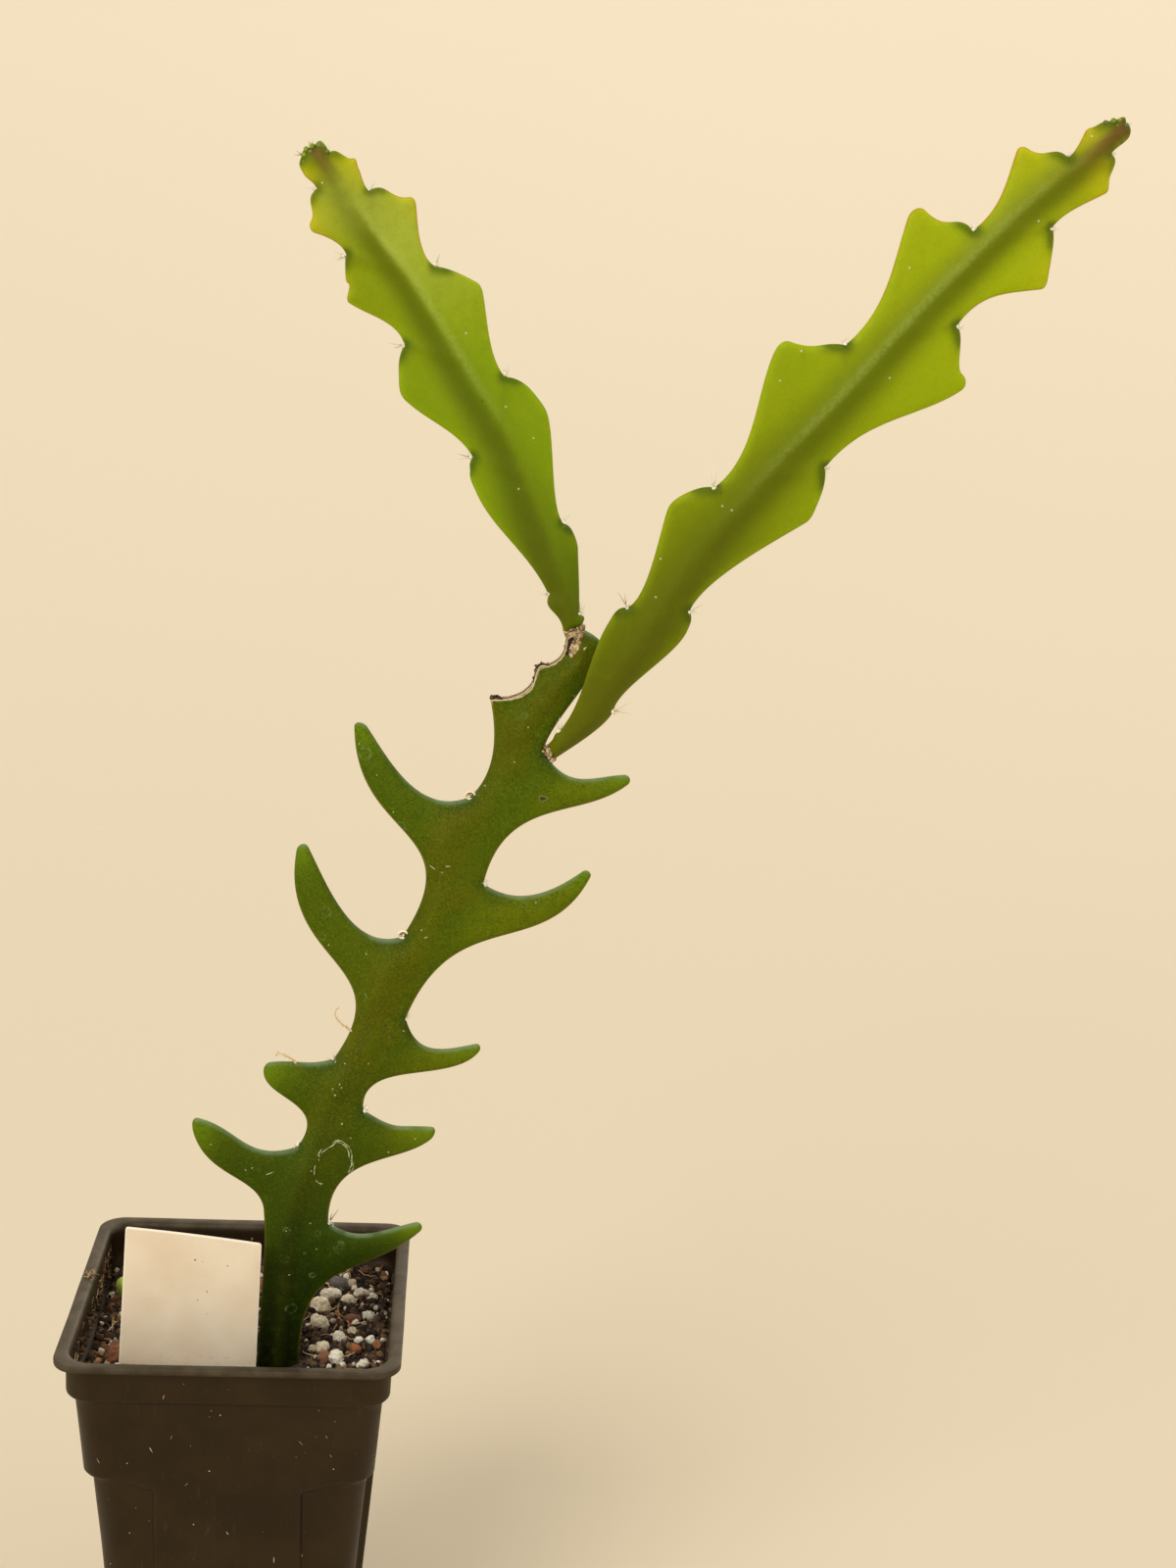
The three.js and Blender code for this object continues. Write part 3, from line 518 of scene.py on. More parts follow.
LEFT = Stem(
    node="left_shoot",
    base=[(-3.2, 1.7), (-2.5, 0.8), (1.5, 0.4), (2.3, 1.2)],
    left=[
        [(-1, 6.5), (-5.5, 9), (-2, 11.5)],
        [(-1, 23), (-6.5, 33), (-5.5, 43), (-4.5, 48), (-3.5, 49.5), (-4, 50), (-2, 51)],
        [(-2, 58.5), (-8, 64.5), (-10, 71.5), (-8, 78), (-7, 80), (-5.5, 82), (-3.5, 83)],
        [(-2, 89), (-8, 93.5), (-10.5, 98.5), (-8.5, 103), (-9, 103.5), (-4.5, 111), (-5.5, 108.5)],
        [(-4.5, 111.5), (-7.5, 115), (-9.5, 117), (-9, 120), (-6.5, 121.5), (-8, 125.5), (-4, 126)],
        [(-3.5, 127.5), (-5, 129), (-5, 130.5), (-4.5, 133.5), (-4, 134), (-3.5, 134.5), (-3, 134.5)],
        [(-3.4, 134.7), (-3.2, 135), (-2.6, 135.3), (-1.6, 135.5), (-1.1, 135.4), (-0.6, 135.2), (0, 135)],
    ],
    right=[
        [(3.5, 2), (3.5, 2.5), (2.5, 3.5)],
        [(5, 8), (7.5, 13), (10, 18), (11, 23), (11, 23.5), (11, 24.5), (10, 25.5)],
        [(8.5, 30), (18.5, 45.5), (19.5, 51.5), (19, 57.5), (18.5, 60.5), (17, 63), (14.5, 64.5)],
        [(13.5, 70.5), (17, 77.5), (19, 83), (19.5, 88), (17.5, 91), (15, 94.5), (12.5, 96)],
        [(10, 100), (13.5, 106.5), (15.5, 111), (15, 113.5), (10.5, 115), (12, 119.5), (7.5, 119.5)],
        [(6, 119.5), (7.5, 124.5), (7.5, 125.5), (7.5, 128), (5.5, 128.5), (5.5, 132.5), (3, 132)],
        [(3, 132.8), (3.3, 133.8), (2.8, 135), (1.8, 135.6), (1.3, 135.5), (0.9, 135.3), (0.5, 135)],
    ],
    midrib=[
        (-0.5, 1), (2.2, 10), (4.2, 21), (6, 34), (7.6, 48), (7.4, 58), (6.6, 68),
        (6, 83), (5.2, 96), (3.8, 105), (2.3, 115), (1.4, 125), (0.4, 134.8),
    ],
    origin=(83.5, -8.2, 314.5),
    lean=-31,
    forward=-3,
    arch=(0, -0.0002),
    twist=0.0015,
    pivot=90,
    grid=1.2,
    shoulder_size=(6, 1.9),
    band_side=-1,
    band_scale=1.4,
    band_shift=[(0, 2.2), (0.6, 1.7), (1, 0.6)],
    band=[(0, 0.6), (0.3, 0.6), (0.7, 0.22), (1, 0.3)],
    pale=[(0, 0.4), (0.2, 0.5), (0.5, 0.5), (0.62, 0.65), (0.78, 0.8), (0.92, 0.45), (0.97, 0)],
    ripeness=[(0, 0.02), (0.12, 0.16), (0.3, 0.4), (0.85, 0.44), (1, 0.7)],
    fresh=[(0, 0.65), (0.5, 0.65), (0.68, 0.2), (0.8, 0)],
)

RIGHT = Stem(
    node="right_shoot",
    base=[(-2.8, 2.6), (-2.2, 0.8), (-0.8, -0.2), (0.5, -0.4), (1.2, 0.4)],
    left=[
        [(-2.5, 5), (-4, 5.5), (-3, 6.5)],
        [(-3.5, 17.5), (-11, 26.5), (-13, 37), (-13.5, 40.5), (-13.5, 41.5), (-13, 42.5), (-12, 43)],
        [(-10, 48.5), (-18.5, 62), (-21, 68), (-20.5, 73.5), (-19.5, 76), (-18, 78.5), (-16, 79.5)],
        [(-13.5, 91.5), (-23, 102), (-26.5, 112.5), (-25.5, 117.5), (-19, 120), (-20, 122.5), (-15, 125.5)],
        [(-13, 138), (-19, 146.5), (-23.5, 157), (-21.5, 161), (-14, 160.5), (-16, 165.5), (-10, 165)],
        [(-8.5, 173.5), (-11.5, 177.5), (-14.5, 185), (-13, 187), (-8, 187.5), (-9, 192), (-4.5, 191.5)],
        [(-4, 193.5), (-5, 196.5), (-5.5, 198.5), (-4.5, 201), (-4, 202.5), (-3.5, 204), (-2, 204)],
        [(-2, 204.5), (-2, 205), (-1.5, 206), (-0.5, 206.5), (0, 206), (0.5, 206), (0.5, 205.5)],
    ],
    right=[
        [(2, 5), (5, 15.5), (3.5, 20)],
        [(0, 26), (5.5, 41.5), (3, 48.5), (1.5, 51.5), (1, 52), (0.5, 52.5), (0, 52.5)],
        [(-2.5, 61), (3, 76), (6.5, 87.5), (5.5, 93), (4.5, 96), (3, 99), (1, 100.5)],
        [(0, 116), (10, 124), (13, 135.5), (10.5, 138.5), (8, 138.5), (5, 146), (2, 146)],
        [(1, 155.5), (5.5, 159), (11, 165), (10, 169), (9, 170.5), (5, 177.5), (3.5, 177)],
        [(3, 182), (6, 187), (7.5, 191), (6, 194), (5, 195.5), (5, 199), (2.5, 198.5)],
        [(2, 199.5), (3, 201.5), (3, 203.5), (2, 205.5), (1.5, 206), (1, 206), (1, 205.5)],
    ],
    midrib=[
        (0, 0), (-0.5, 12), (-1.5, 24), (-3.5, 38), (-6, 54), (-7.8, 70), (-8, 93),
        (-7.2, 111), (-6.8, 127), (-6.5, 143), (-5.8, 155), (-4.4, 173), (-2.3, 188), (0.5, 205),
    ],
    origin=(78, -10.5, 282),
    lean=38,
    forward=0,
    arch=(0.3, -0.0016, 3e-6),
    twist=0.0012,
    pivot=60,
    grid=1.3,
    shoulder_size=(7, 2.1),
)

# The cut across the top of the main stem, from its left corner to the foot of the left shoot
CROWN = [(51, 185.5), (56.5, 185.9), (61, 188.6), (63, 194.5), (66.3, 195), (69.2, 197.6), (69.6, 201)]


def make_blade(stem, paint, crown=None):
    """Fine skin of a flat fleshy stem with round margins, a midrib and thick shoulders."""
    margin = stem.margin
    points, faces = cover(stem.outline, stem.inner_points())
    depth = distance_to_run(points, stem.outline, True)
    on_rim = depth < 1e-3
    # A triangle with all its corners on the rim would lie on its own mirror image
    faces = faces[~on_rim[faces].all(axis=1)]
    rise = smoothstep(depth, 0, 2.8 * margin)
    rib = stem.rib_offset(points)
    vein = stem.veins(points)
    shoulder = stem.thick_shoulders(points)
    rim = RIM_SHARE * margin
    half = rim * round_edge(depth, rim) + (margin - rim) * rise
    half += stem.rib * (np.exp(-((rib / stem.rib_width) ** 2)) + VEIN_RISE * vein) * rise
    half += SHOULDER_RISE * shoulder * smoothstep(depth, 0, 1.2 * margin)
    flat = raised(points)
    half *= 1 + 0.05 * wander(flat, 7, 3) + 0.025 * wander(flat, 2.6, 4)
    crown_share = np.zeros(len(points))
    if crown is not None:
        from_cut = distance_to_run(points, crown)
        crown_share = smoothstep(from_cut, 1.6, 0.9)
        square = margin * np.minimum(1, (depth / 0.25) ** 0.5)
        half += smoothstep(from_cut, 6, 1) * np.maximum(square - half, 0)
        half[on_rim] = 0
    sway = stem.sway * wander(flat, 16, 1) * smoothstep(points[:, 1], 0, 0.2 * stem.length)
    middle = stem.bend(points[:, 0], points[:, 1]) + sway
    blade = two_sides(np.c_[points, middle + half], on_rim, np.c_[points, middle - half])
    skin = two_sheets(faces, on_rim)
    stem.skin = BVHTree.FromPolygons(blade.tolist(), skin.tolist())
    along = points[:, 1] / stem.length
    profiles = ("ripeness", "fresh", "pale", "band", "band_shift")
    sides = {name: np.interp(along, *zip(*getattr(stem, name))) for name in profiles}
    # The painted sheen lies right of the midrib and spreads across towards the end of the stem
    ripe_end = 0.8 * smoothstep(along, 0.78, 0.9)
    sides["pale"] = sides["pale"] * np.maximum(smoothstep(rib, -0.8, 1.4), ripe_end)
    sides["band_offset"] = stem.band_scale * (rib * stem.band_side - sides.pop("band_shift"))
    sides["rib_offset"] = rib * stem.band_side
    from_tip = np.linalg.norm(points - stem.tips[nearest(points, stem.tips)], axis=1)
    sides["tip"] = np.exp(-from_tip / TIP_REACH)
    sides |= {"margin_distance": depth, "vein": vein, "along": along}
    sides |= {"shoulder": shoulder, "crown": crown_share}
    values = {name: two_sides(value, on_rim) for name, value in sides.items()}
    facing = np.where(on_rim, 0.0, 1.0)
    values["facing"] = two_sides(facing, on_rim, -facing)
    values["blade_place"] = blade
    return add_piece(stem.node + "_flesh", stem.node, paint, stem.stand(blade), skin, values)


class Signal:
    """What a node gives; sums and products of signals make further nodes."""

    def __init__(self, paint, socket):
        self.paint = paint
        self.socket = socket

    def __add__(self, other):
        return self.paint.maths("ADD", self, other)

    def __sub__(self, other):
        return self.paint.maths("SUBTRACT", self, other)

    def __rsub__(self, other):
        return self.paint.maths("SUBTRACT", other, self)

    def __mul__(self, other):
        return self.paint.maths("MULTIPLY", self, other)

    def __truediv__(self, other):
        return self.paint.maths("DIVIDE", self, other)

    def __abs__(self):
        return self.paint.maths("ABSOLUTE", self)

    def larger(self, other):
        return self.paint.maths("MAXIMUM", self, other)

    def fade(self, low, high, first=0.0, last=1.0):
        """Smooth change from first to last while the signal goes from low to high."""
        feeds = {"Value": self, "From Min": low, "From Max": high, "To Min": first, "To Max": last}
        return self.paint.node("ShaderNodeMapRange", feeds, interpolation_type="SMOOTHSTEP")


class Paint:
    """One material: its shader, the nodes that feed it, and the tone mixed so far."""

    def __init__(self, name, **settings):
        self.name = name
        self.material = bpy.data.materials.new(name)
        self.material.use_nodes = True
        self.nodes = self.material.node_tree.nodes
        self.links = self.material.node_tree.links
        self.shader = self.nodes["Principled BSDF"]
        for socket, value in settings.items():
            self.shader.inputs[socket.replace("_", " ")].default_value = value
        place = self.node("ShaderNodeTexCoord", {}, "Object")
        self.place = self.vector("SCALE", {0: place, "Scale": 1 / MM})

    def feed(self, socket, value):
        if isinstance(value, Signal):
            self.links.new(value.socket, socket)
        else:
            socket.default_value = value

    def node(self, kind, feeds, output=0, **settings):
        made = self.nodes.new(kind)
        for key, value in settings.items():
            setattr(made, key, value)
        for key, value in feeds.items():
            self.feed(made.inputs[key], value)
        return Signal(self, made.outputs[output])

    def attribute(self, name, output="Fac"):
        return self.node("ShaderNodeAttribute", {}, output, attribute_name=name)

    def maths(self, operation, first, second=0.0):
        return self.node("ShaderNodeMath", {0: first, 1: second}, operation=operation)

    def vector(self, operation, feeds, output=0):
        return self.node("ShaderNodeVectorMath", feeds, output, operation=operation)

    def stretched(self, factors, place=None):
        return self.vector("MULTIPLY", {0: place or self.place, 1: factors})

    def height(self, vector=None):
        """The upright part of a vector, or of the place."""
        return self.node("ShaderNodeSeparateXYZ", {0: vector or self.place}, "Z")

    def noise(self, size, detail=3.0, roughness=0.5, place=None):
        feeds = {"Vector": place or self.place, "Scale": 1 / size, "Detail": detail, "Roughness": roughness}
        return self.node("ShaderNodeTexNoise", feeds)

    def cells(self, size, output="Distance", place=None, dimensions="3D"):
        feeds = {"Vector": place or self.place, "Scale": 1 / size}
        return self.node("ShaderNodeTexVoronoi", feeds, output, voronoi_dimensions=dimensions)

    def specks(self, spacing, radius, share, place=None):
        """1 on a few scattered round specks, 0 elsewhere; a given place lays them out flat."""
        dimensions = "2D" if place else "3D"
        away = self.cells(spacing, "Distance", place, dimensions)
        drawn = self.cells(spacing, "Color", place, dimensions)
        near = away.fade(radius / spacing, 0.6 * radius / spacing)
        return near * self.maths("GREATER_THAN", drawn, 1 - share)

    def ramp(self, value, stops):
        made = self.nodes.new("ShaderNodeValToRGB")
        self.feed(made.inputs[0], value)
        marks = made.color_ramp.elements
        while len(marks) < len(stops):
            marks.new(1)
        for mark, (place, shade) in zip(marks, stops):
            mark.position = place
            mark.color = shade
        return Signal(self, made.outputs[0])

    def mix(self, share, first, second, blend="MIX"):
        """Mix of two colours; the numbers are those of the node's colour sockets."""
        feeds = {0: share, 6: first, 7: second}
        return self.node("ShaderNodeMix", feeds, 2, data_type="RGBA", blend_type=blend)

    def tint(self, share, shade, blend="MIX"):
        """Lays a colour over the tone where share is above 0."""
        self.tone = self.mix(share, self.tone, shade, blend)

    def finish(self, rough=None, bumps=()):
        """Links the tone, the roughness and a chain of (height, distance in mm) bumps."""
        self.feed(self.shader.inputs["Base Color"], self.tone)
        if rough is not None:
            self.feed(self.shader.inputs["Roughness"], rough)
        normal = None
        for height, distance in bumps:
            feeds = {"Strength": 1.0, "Distance": distance * MM, "Height": height}
            if normal:
                feeds["Normal"] = normal
            normal = self.node("ShaderNodeBump", feeds)
        if normal:
            self.feed(self.shader.inputs["Normal"], normal)
        return self


def colour(red, green, blue):
    """Linear colour from the 0 to 255 values that a screen shows."""
    shares = [value / 255 for value in (red, green, blue)]
    linear = [share / 12.92 if share <= 0.04045 else ((share + 0.055) / 1.055) ** 2.4 for share in shares]
    return (*linear, 1)


def tones(*stops):
    """Stops of a colour ramp, each given as its place, red, green and blue."""
    return [(place, colour(*shade)) for place, *shade in stops]


# Tones up the main stem, darkest at the foot, where they are painted shade near the mix
OLD_STEM_TONES_WITH_FOOT_SHADE = tones(
    (0, 6, 15, 0), (0.1, 17, 32, 0), (0.16, 33, 50, 0), (0.22, 46, 62, 1), (0.3, 56, 71, 1),
    (0.4, 66, 80, 1), (0.55, 74, 87, 1), (0.8, 70, 88, 1), (1, 64, 86, 2),
)
OLIVE = colour(90, 85, 0)
OLIVE_BROWN = colour(84, 68, 3)
PAINTED_MIDRIB_SHADE = colour(46, 50, 0)
PAINTED_WARM_BACKLIGHT = colour(112, 118, 1)
HORN_TIP = colour(98, 122, 8)
OLD_SHOULDER = colour(34, 62, 10)
STIPPLE = (0.46, 0.62, 0.35, 1)
LIGHT_CELLS = colour(112, 128, 10)
MOTTLE = colour(50, 72, 1)
PAINTED_EDGE_SHEEN = colour(128, 150, 112)
PAINTED_RIM_LIGHT = colour(132, 128, 20)
DROP_RING = colour(106, 126, 66)
FLECK = colour(206, 206, 168)
SCAR = colour(58, 46, 22)
CALLUS = colour(188, 172, 134)
CUT_TONES = tones((0.35, 70, 46, 30), (0.65, 168, 138, 100))
LEAF_SHINE = (1.0, 1.0, 0.5, 1)

# Dried rings all over the main stem: spacing, radius, strength
DROP_RINGS = [(9, 1.35, 0.6), (7, 0.8, 0.5)]
# Single rings on its front: centre, radius, width of the line, strength
STEM_RINGS = [
    ((16.2, 36.1), 1.5, 0.3, 0.5),
    ((16.2, 36.1), 0.75, 0.2, 0.3),
    ((3.8, 19.0), 1.35, 0.3, 0.42),
    ((9.2, 28.3), 0.7, 0.3, 0.5),
    ((2.4, 41.6), 0.9, 0.2, 0.6),
    ((10.6, 128.2), 1.2, 0.24, 0.75),
    ((9.8, 121.7), 0.9, 0.2, 0.6),
    ((20.6, 106.1), 1.1, 0.2, 0.65),
    ((19.5, 169.7), 1.5, 0.24, 0.8),
    ((29.2, 151.3), 1.2, 0.24, 0.7),
]


def paint_old_stem():
    paint = Paint(
        "old_stem",
        Subsurface_Weight=0.12,
        Subsurface_Radius=(0.8, 1.0, 0.1),
        Subsurface_Scale=0.0012,
        Specular_IOR_Level=0.14,
        Specular_Tint=LEAF_SHINE,
    )
    place = paint.attribute("blade_place", "Vector")
    depth = paint.attribute("margin_distance")
    rib_offset = paint.attribute("rib_offset")
    rib = abs(rib_offset)
    level = paint.attribute("along") + (paint.noise(11, 4) - 0.5) * 0.12
    # The thin sides are lighter than the thick middle, most of all near the foot: painted light through the
    # thin flesh and painted shade over the midrib
    shifted = level + depth.fade(3.2, 0.4, 0, 0.05) - rib.fade(3.4, 0.6, 0, 0.055)
    paint.tone = paint.ramp(shifted, OLD_STEM_TONES_WITH_FOOT_SHADE)
    # Olive zone over the midrib and the ribs that run to the areoles
    olive = rib.fade(10, 1.5).larger(paint.attribute("vein")) * level.fade(0.22, 0.5, 0, 0.62)
    paint.tint(olive * paint.noise(9, 4, 0.6).fade(0.3, 0.62, 0.35, 1), OLIVE)
    paint.tint(rib.fade(4.5, 0.5) * paint.noise(14, 3).fade(0.5, 0.7, 0, 0.14), OLIVE_BROWN)
    # Painted shade: a dark valley along the midrib, low on the stem
    paint.tint(rib.fade(2.6, 0.4) * level.fade(0.6, 0.25, 0.12, 0.34), PAINTED_MIDRIB_SHADE)
    # Painted warm backlight that makes the right side of the stem more yellow
    paint.tint(rib_offset.fade(8, 20, 0, 0.4) * level.fade(0.2, 0.35), PAINTED_WARM_BACKLIGHT)
    paint.tint(paint.attribute("tip").fade(0.12, 0.9, 0, 0.8), HORN_TIP)
    paint.tint(paint.attribute("shoulder") * 0.7, OLD_SHOULDER)
    # Fine grain of dark pores and lighter cells
    grown = level.fade(0.08, 0.45, 0.15, 1)
    pores = paint.cells(0.62, place=place).fade(0.6, 0.15)
    paint.tint(pores * paint.noise(6, 2).fade(0.35, 0.65, 0.4, 0.9) * grown, STIPPLE, "MULTIPLY")
    paint.tint(paint.noise(0.55, 2).fade(0.5, 0.66, 0, 0.26) * grown, LIGHT_CELLS)
    paint.tint(paint.noise(2.4, 4).fade(0.5, 0.7, 0, 0.24), MOTTLE)
    # Painted sheen along the edges that face up, a thin line of painted rim light along the others
    up = paint.height(paint.node("ShaderNodeNewGeometry", {}, "Normal"))
    edge_sheen = up.fade(0.4, 0.95) * paint.noise(5, 3).fade(0.3, 0.6, 0.35, 1)
    paint.tint(edge_sheen * depth.fade(1.5, 0.3, 0, 0.55), PAINTED_EDGE_SHEEN)
    paint.tint(depth.fade(0.8, 0.1, 0, 0.5) * up.fade(0.2, -0.3), PAINTED_RIM_LIGHT)
    # Dried rings where drops stood
    broken = paint.noise(1.3, 4, 0.7).fade(0.4, 0.62)
    for spacing, radius, strength in DROP_RINGS:
        off = abs(paint.cells(spacing, place=place) - radius / spacing)
        chosen = paint.cells(spacing, "Color", place).fade(0.5, 0.8, 0, strength)
        paint.tint(off.fade(0.2 / spacing, 0.05 / spacing) * broken * chosen, DROP_RING)
    front = paint.attribute("facing").fade(0, 0.5)
    for (u, v), radius, line, strength in STEM_RINGS:
        to = paint.stretched((1, 1, 0), paint.vector("SUBTRACT", {0: place, 1: (u, v, 0)}))
        off = abs(paint.vector("LENGTH", {0: to}, "Value") - radius)
        paint.tint(off.fade(1.6 * line, 0.4 * line) * broken * front * strength, DROP_RING)
    paint.tint(paint.specks(7.5, 0.24, 0.4, place) * 0.55, FLECK)
    paint.tint(paint.specks(11, 0.34, 0.35, place) * 0.7, SCAR)
    # The cut: a pale corky line round a dark sunken face
    crown = paint.attribute("crown")
    ragged = depth + paint.noise(0.9, 4) * -0.5
    paint.tint(crown * ragged.fade(0.28, 0.16), CALLUS)
    paint.tint(crown * depth.fade(0.26, 0.16), paint.ramp(paint.noise(0.8, 4, 0.65), CUT_TONES))
    rough = paint.noise(3, 3).fade(0.3, 0.7, 0.56, 0.7)
    return paint.finish(rough, [(paint.noise(4, 3), 0.12), (paint.noise(0.55, 2), 0.05), (pores, -0.03)])


YOUNG_TONES = tones(
    (0, 92, 100, 1), (0.1, 100, 112, 1), (0.28, 122, 137, 1), (0.55, 143, 159, 1),
    (0.8, 157, 171, 2), (1, 158, 164, 12),
)
SHADED_BAND_TONES = tones(
    (0, 90, 93, 1), (0.12, 88, 92, 1), (0.3, 88, 96, 1), (0.6, 94, 108, 1),
    (0.88, 96, 106, 1), (1, 104, 94, 12),
)
PAINTED_SHEEN_TONES = tones(
    (0.1, 112, 128, 2), (0.35, 136, 152, 4), (0.5, 136, 152, 6), (0.61, 154, 168, 26),
    (0.78, 174, 184, 66), (0.92, 170, 174, 66),
)
PAINTED_RIDGE_HIGHLIGHT = colour(180, 198, 104)
PAINTED_LOBE_LIGHT = colour(164, 182, 4)
YOUNG_SHOULDER = colour(56, 78, 2)
YOUNG_MOTTLE = colour(104, 128, 1)
FRESH_TINT = (0.84, 1.0, 1.0, 1)
YELLOW_LOBE = colour(206, 192, 14)
RED_MARGIN = colour(186, 112, 40)
APEX_PURPLE = colour(104, 72, 34)


def paint_young_shoot():
    paint = Paint(
        "young_shoot",
        Subsurface_Weight=0.55,
        Subsurface_Radius=(0.9, 1.0, 0.05),
        Subsurface_Scale=0.0022,
        Specular_IOR_Level=0.2,
        Specular_Tint=LEAF_SHINE,
    )
    place = paint.attribute("blade_place", "Vector")
    depth = paint.attribute("margin_distance")
    rib = paint.attribute("rib_offset")
    along = paint.attribute("along")
    shoulder = paint.attribute("shoulder")
    ripeness = paint.attribute("ripeness")
    paint.tone = paint.ramp(ripeness + (paint.noise(8, 4) - 0.5) * 0.14, YOUNG_TONES)
    shaded_band_tone = paint.ramp(ripeness, SHADED_BAND_TONES)
    # Painted shade: the thick middle lets less light through, a broad soft zone, and a narrow darker band on
    # the midrib's shaded side
    offset = paint.attribute("band_offset")
    away = abs(offset - 0.6) / along.fade(0, 0.95, 15, 7.5)
    broad = away.fade(1.0, 0.05) * along.fade(0.1, 0.8, 0.85, 0.72)
    paint.tint(broad.larger(paint.attribute("vein") * 0.4), shaded_band_tone)
    narrowed = offset / along.fade(0.2, 0.9, 1.25, 0.85)
    band = narrowed.fade(-2.0, 0.4) * narrowed.fade(6.5, 1.2)
    paint.tint(band * paint.attribute("band"), shaded_band_tone)
    # Painted sheen: the pale side of the left shoot
    painted_sheen = paint.attribute("pale") * paint.noise(3, 4, 0.6).fade(0.3, 0.6, 0.75, 1)
    paint.tint(painted_sheen, paint.ramp(along, PAINTED_SHEEN_TONES))
    # Painted highlight: a faint streak on the other side of the midrib, where its ridge faces the light
    reach = along.fade(0.34, 0.56) * along.fade(0.95, 0.8) * 0.21
    ridge_highlight = rib.fade(-3.0, -1.3) * rib.fade(0.5, -0.9) * reach
    paint.tint(ridge_highlight * paint.noise(0.9, 5, 0.7).fade(0.35, 0.6, 0.25, 1), PAINTED_RIDGE_HIGHLIGHT)
    # Painted light through the thin margin, dark green on the thick shoulders
    paint.tint(depth.fade(2.4, 0.3, 0, 0.25) * along.fade(0.08, 0.35, 0.15, 1), PAINTED_LOBE_LIGHT)
    paint.tint(shoulder.fade(0, 0.85, 0, 0.74), YOUNG_SHOULDER)
    # Yellow lobes, a thin reddish margin and a purple ridge towards the growing end
    late = along.fade(0.7, 0.9) * along.fade(0.985, 0.955)
    paint.tint(paint.attribute("tip").fade(0.25, 0.95, 0, 0.4) * late, YELLOW_LOBE)
    red = depth.fade(0.5, 0.08) * along.fade(0.5, 0.9, 0.08, 0.7) * shoulder.fade(0.4, 0.1)
    paint.tint(red * paint.noise(5, 2).fade(0.35, 0.6, 0.3, 1), RED_MARGIN)
    paint.tint(along.fade(0.9, 0.985, 0, 0.8) * abs(rib).fade(2.6, 0.6), APEX_PURPLE)
    paint.tint(paint.cells(0.5, place=place).fade(0.55, 0.15, 0, 0.2), STIPPLE, "MULTIPLY")
    paint.tint(paint.noise(2.6, 4).fade(0.5, 0.75, 0, 0.16), YOUNG_MOTTLE)
    paint.tint(paint.specks(10, 0.3, 0.4, place) * 0.8, FLECK)
    paint.tint(paint.specks(16, 0.3, 0.4, place) * 0.6, SCAR)
    paint.tint(paint.attribute("fresh"), FRESH_TINT, "MULTIPLY")
    rough = paint.noise(4, 3).fade(0.3, 0.7, 0.46, 0.6)
    return paint.finish(rough, [(paint.noise(3.5, 4), 0.16), (paint.noise(0.5, 2), 0.025)])


CORK_TONES = tones((0, 30, 18, 12), (0.3, 80, 54, 32), (0.6, 170, 142, 96), (1, 218, 204, 162))
WOOL_TONES = tones((0, 120, 84, 44), (0.35, 196, 166, 112), (0.7, 232, 216, 178), (1, 244, 238, 218))
BEAD_TONES = tones((0, 92, 84, 22), (0.35, 84, 108, 12), (0.7, 118, 140, 22), (1, 160, 160, 60))
SCAR_LINE_TONES = tones((0, 122, 106, 62), (0.5, 156, 158, 108), (1, 190, 194, 150))
ROOTLET_TONES = tones((0, 150, 116, 72), (0.6, 206, 174, 122), (1, 228, 206, 160))
ROOT_TONES = tones((0, 112, 84, 54), (0.5, 168, 136, 92), (1, 204, 178, 132))
PEAT_TONES = tones((0, 24, 16, 11), (0.35, 48, 34, 23), (0.7, 84, 60, 40), (1, 126, 92, 60))
CHIP_TONES = tones((0, 52, 32, 20), (0.45, 98, 60, 36), (0.8, 142, 92, 54), (1, 176, 128, 84))
GRIT_TONES = tones((0, 150, 130, 102), (0.45, 200, 184, 154), (1, 236, 228, 208))


def paint_dry(name, stops, size, bump, rough=0.85):
    """Dry natural stuff whose shade attribute picks a tone from dark to light."""
    paint = Paint(name)
    paint.tone = paint.ramp(paint.attribute("shade") + (paint.noise(size, 4, 0.65) - 0.5) * 0.7, stops)
    return paint.finish(rough, [(paint.noise(size, 5, 0.7), bump)])


POT_DARK = colour(28, 17, 4)
POT_BROWN = colour(41, 27, 7)
POT_LIP_WEAR_AND_REFLECTION = colour(77, 69, 55)
POT_DUST = colour(78, 64, 46)
POT_SPECK = colour(188, 176, 150)
POT_SHINE = (1.0, 0.88, 0.68, 1)


def paint_pot():
    paint = Paint("pot_plastic", Specular_IOR_Level=0.3, Specular_Tint=POT_SHINE)
    cloudy = paint.noise(16, 5, 0.6)
    paint.tone = paint.mix(cloudy.fade(0.35, 0.7), POT_DARK, POT_BROWN)
    # The lip is grey: some wear, and a painted reflection of the light from above
    paint.tint(paint.height().fade(122.6, 124.4) * paint.noise(5, 4).fade(0.3, 0.7, 0.3, 0.8), POT_LIP_WEAR_AND_REFLECTION)
    upright = paint.noise(1.6, 4, 0.7, paint.stretched((1, 1, 0.12)))
    paint.tint(upright.fade(0.6, 0.8, 0, 0.35), POT_DUST)
    paint.tint(paint.specks(5, 0.2, 0.3) * paint.noise(20, 2).fade(0.4, 0.6, 0.1, 0.8), POT_SPECK)
    paint.tint(paint.specks(1.3, 0.1, 0.25) * 0.3, POT_SPECK)
    rough = cloudy.fade(0.3, 0.75, 0.42, 0.62)
    return paint.finish(rough, [(paint.noise(0.5, 3), 0.035), (upright, 0.05)])


LABEL_LIGHT = colour(229, 215, 191)
LABEL_WARM = colour(220, 203, 175)
LABEL_EDGE = colour(244, 238, 222)
LABEL_SPECK = colour(150, 128, 98)


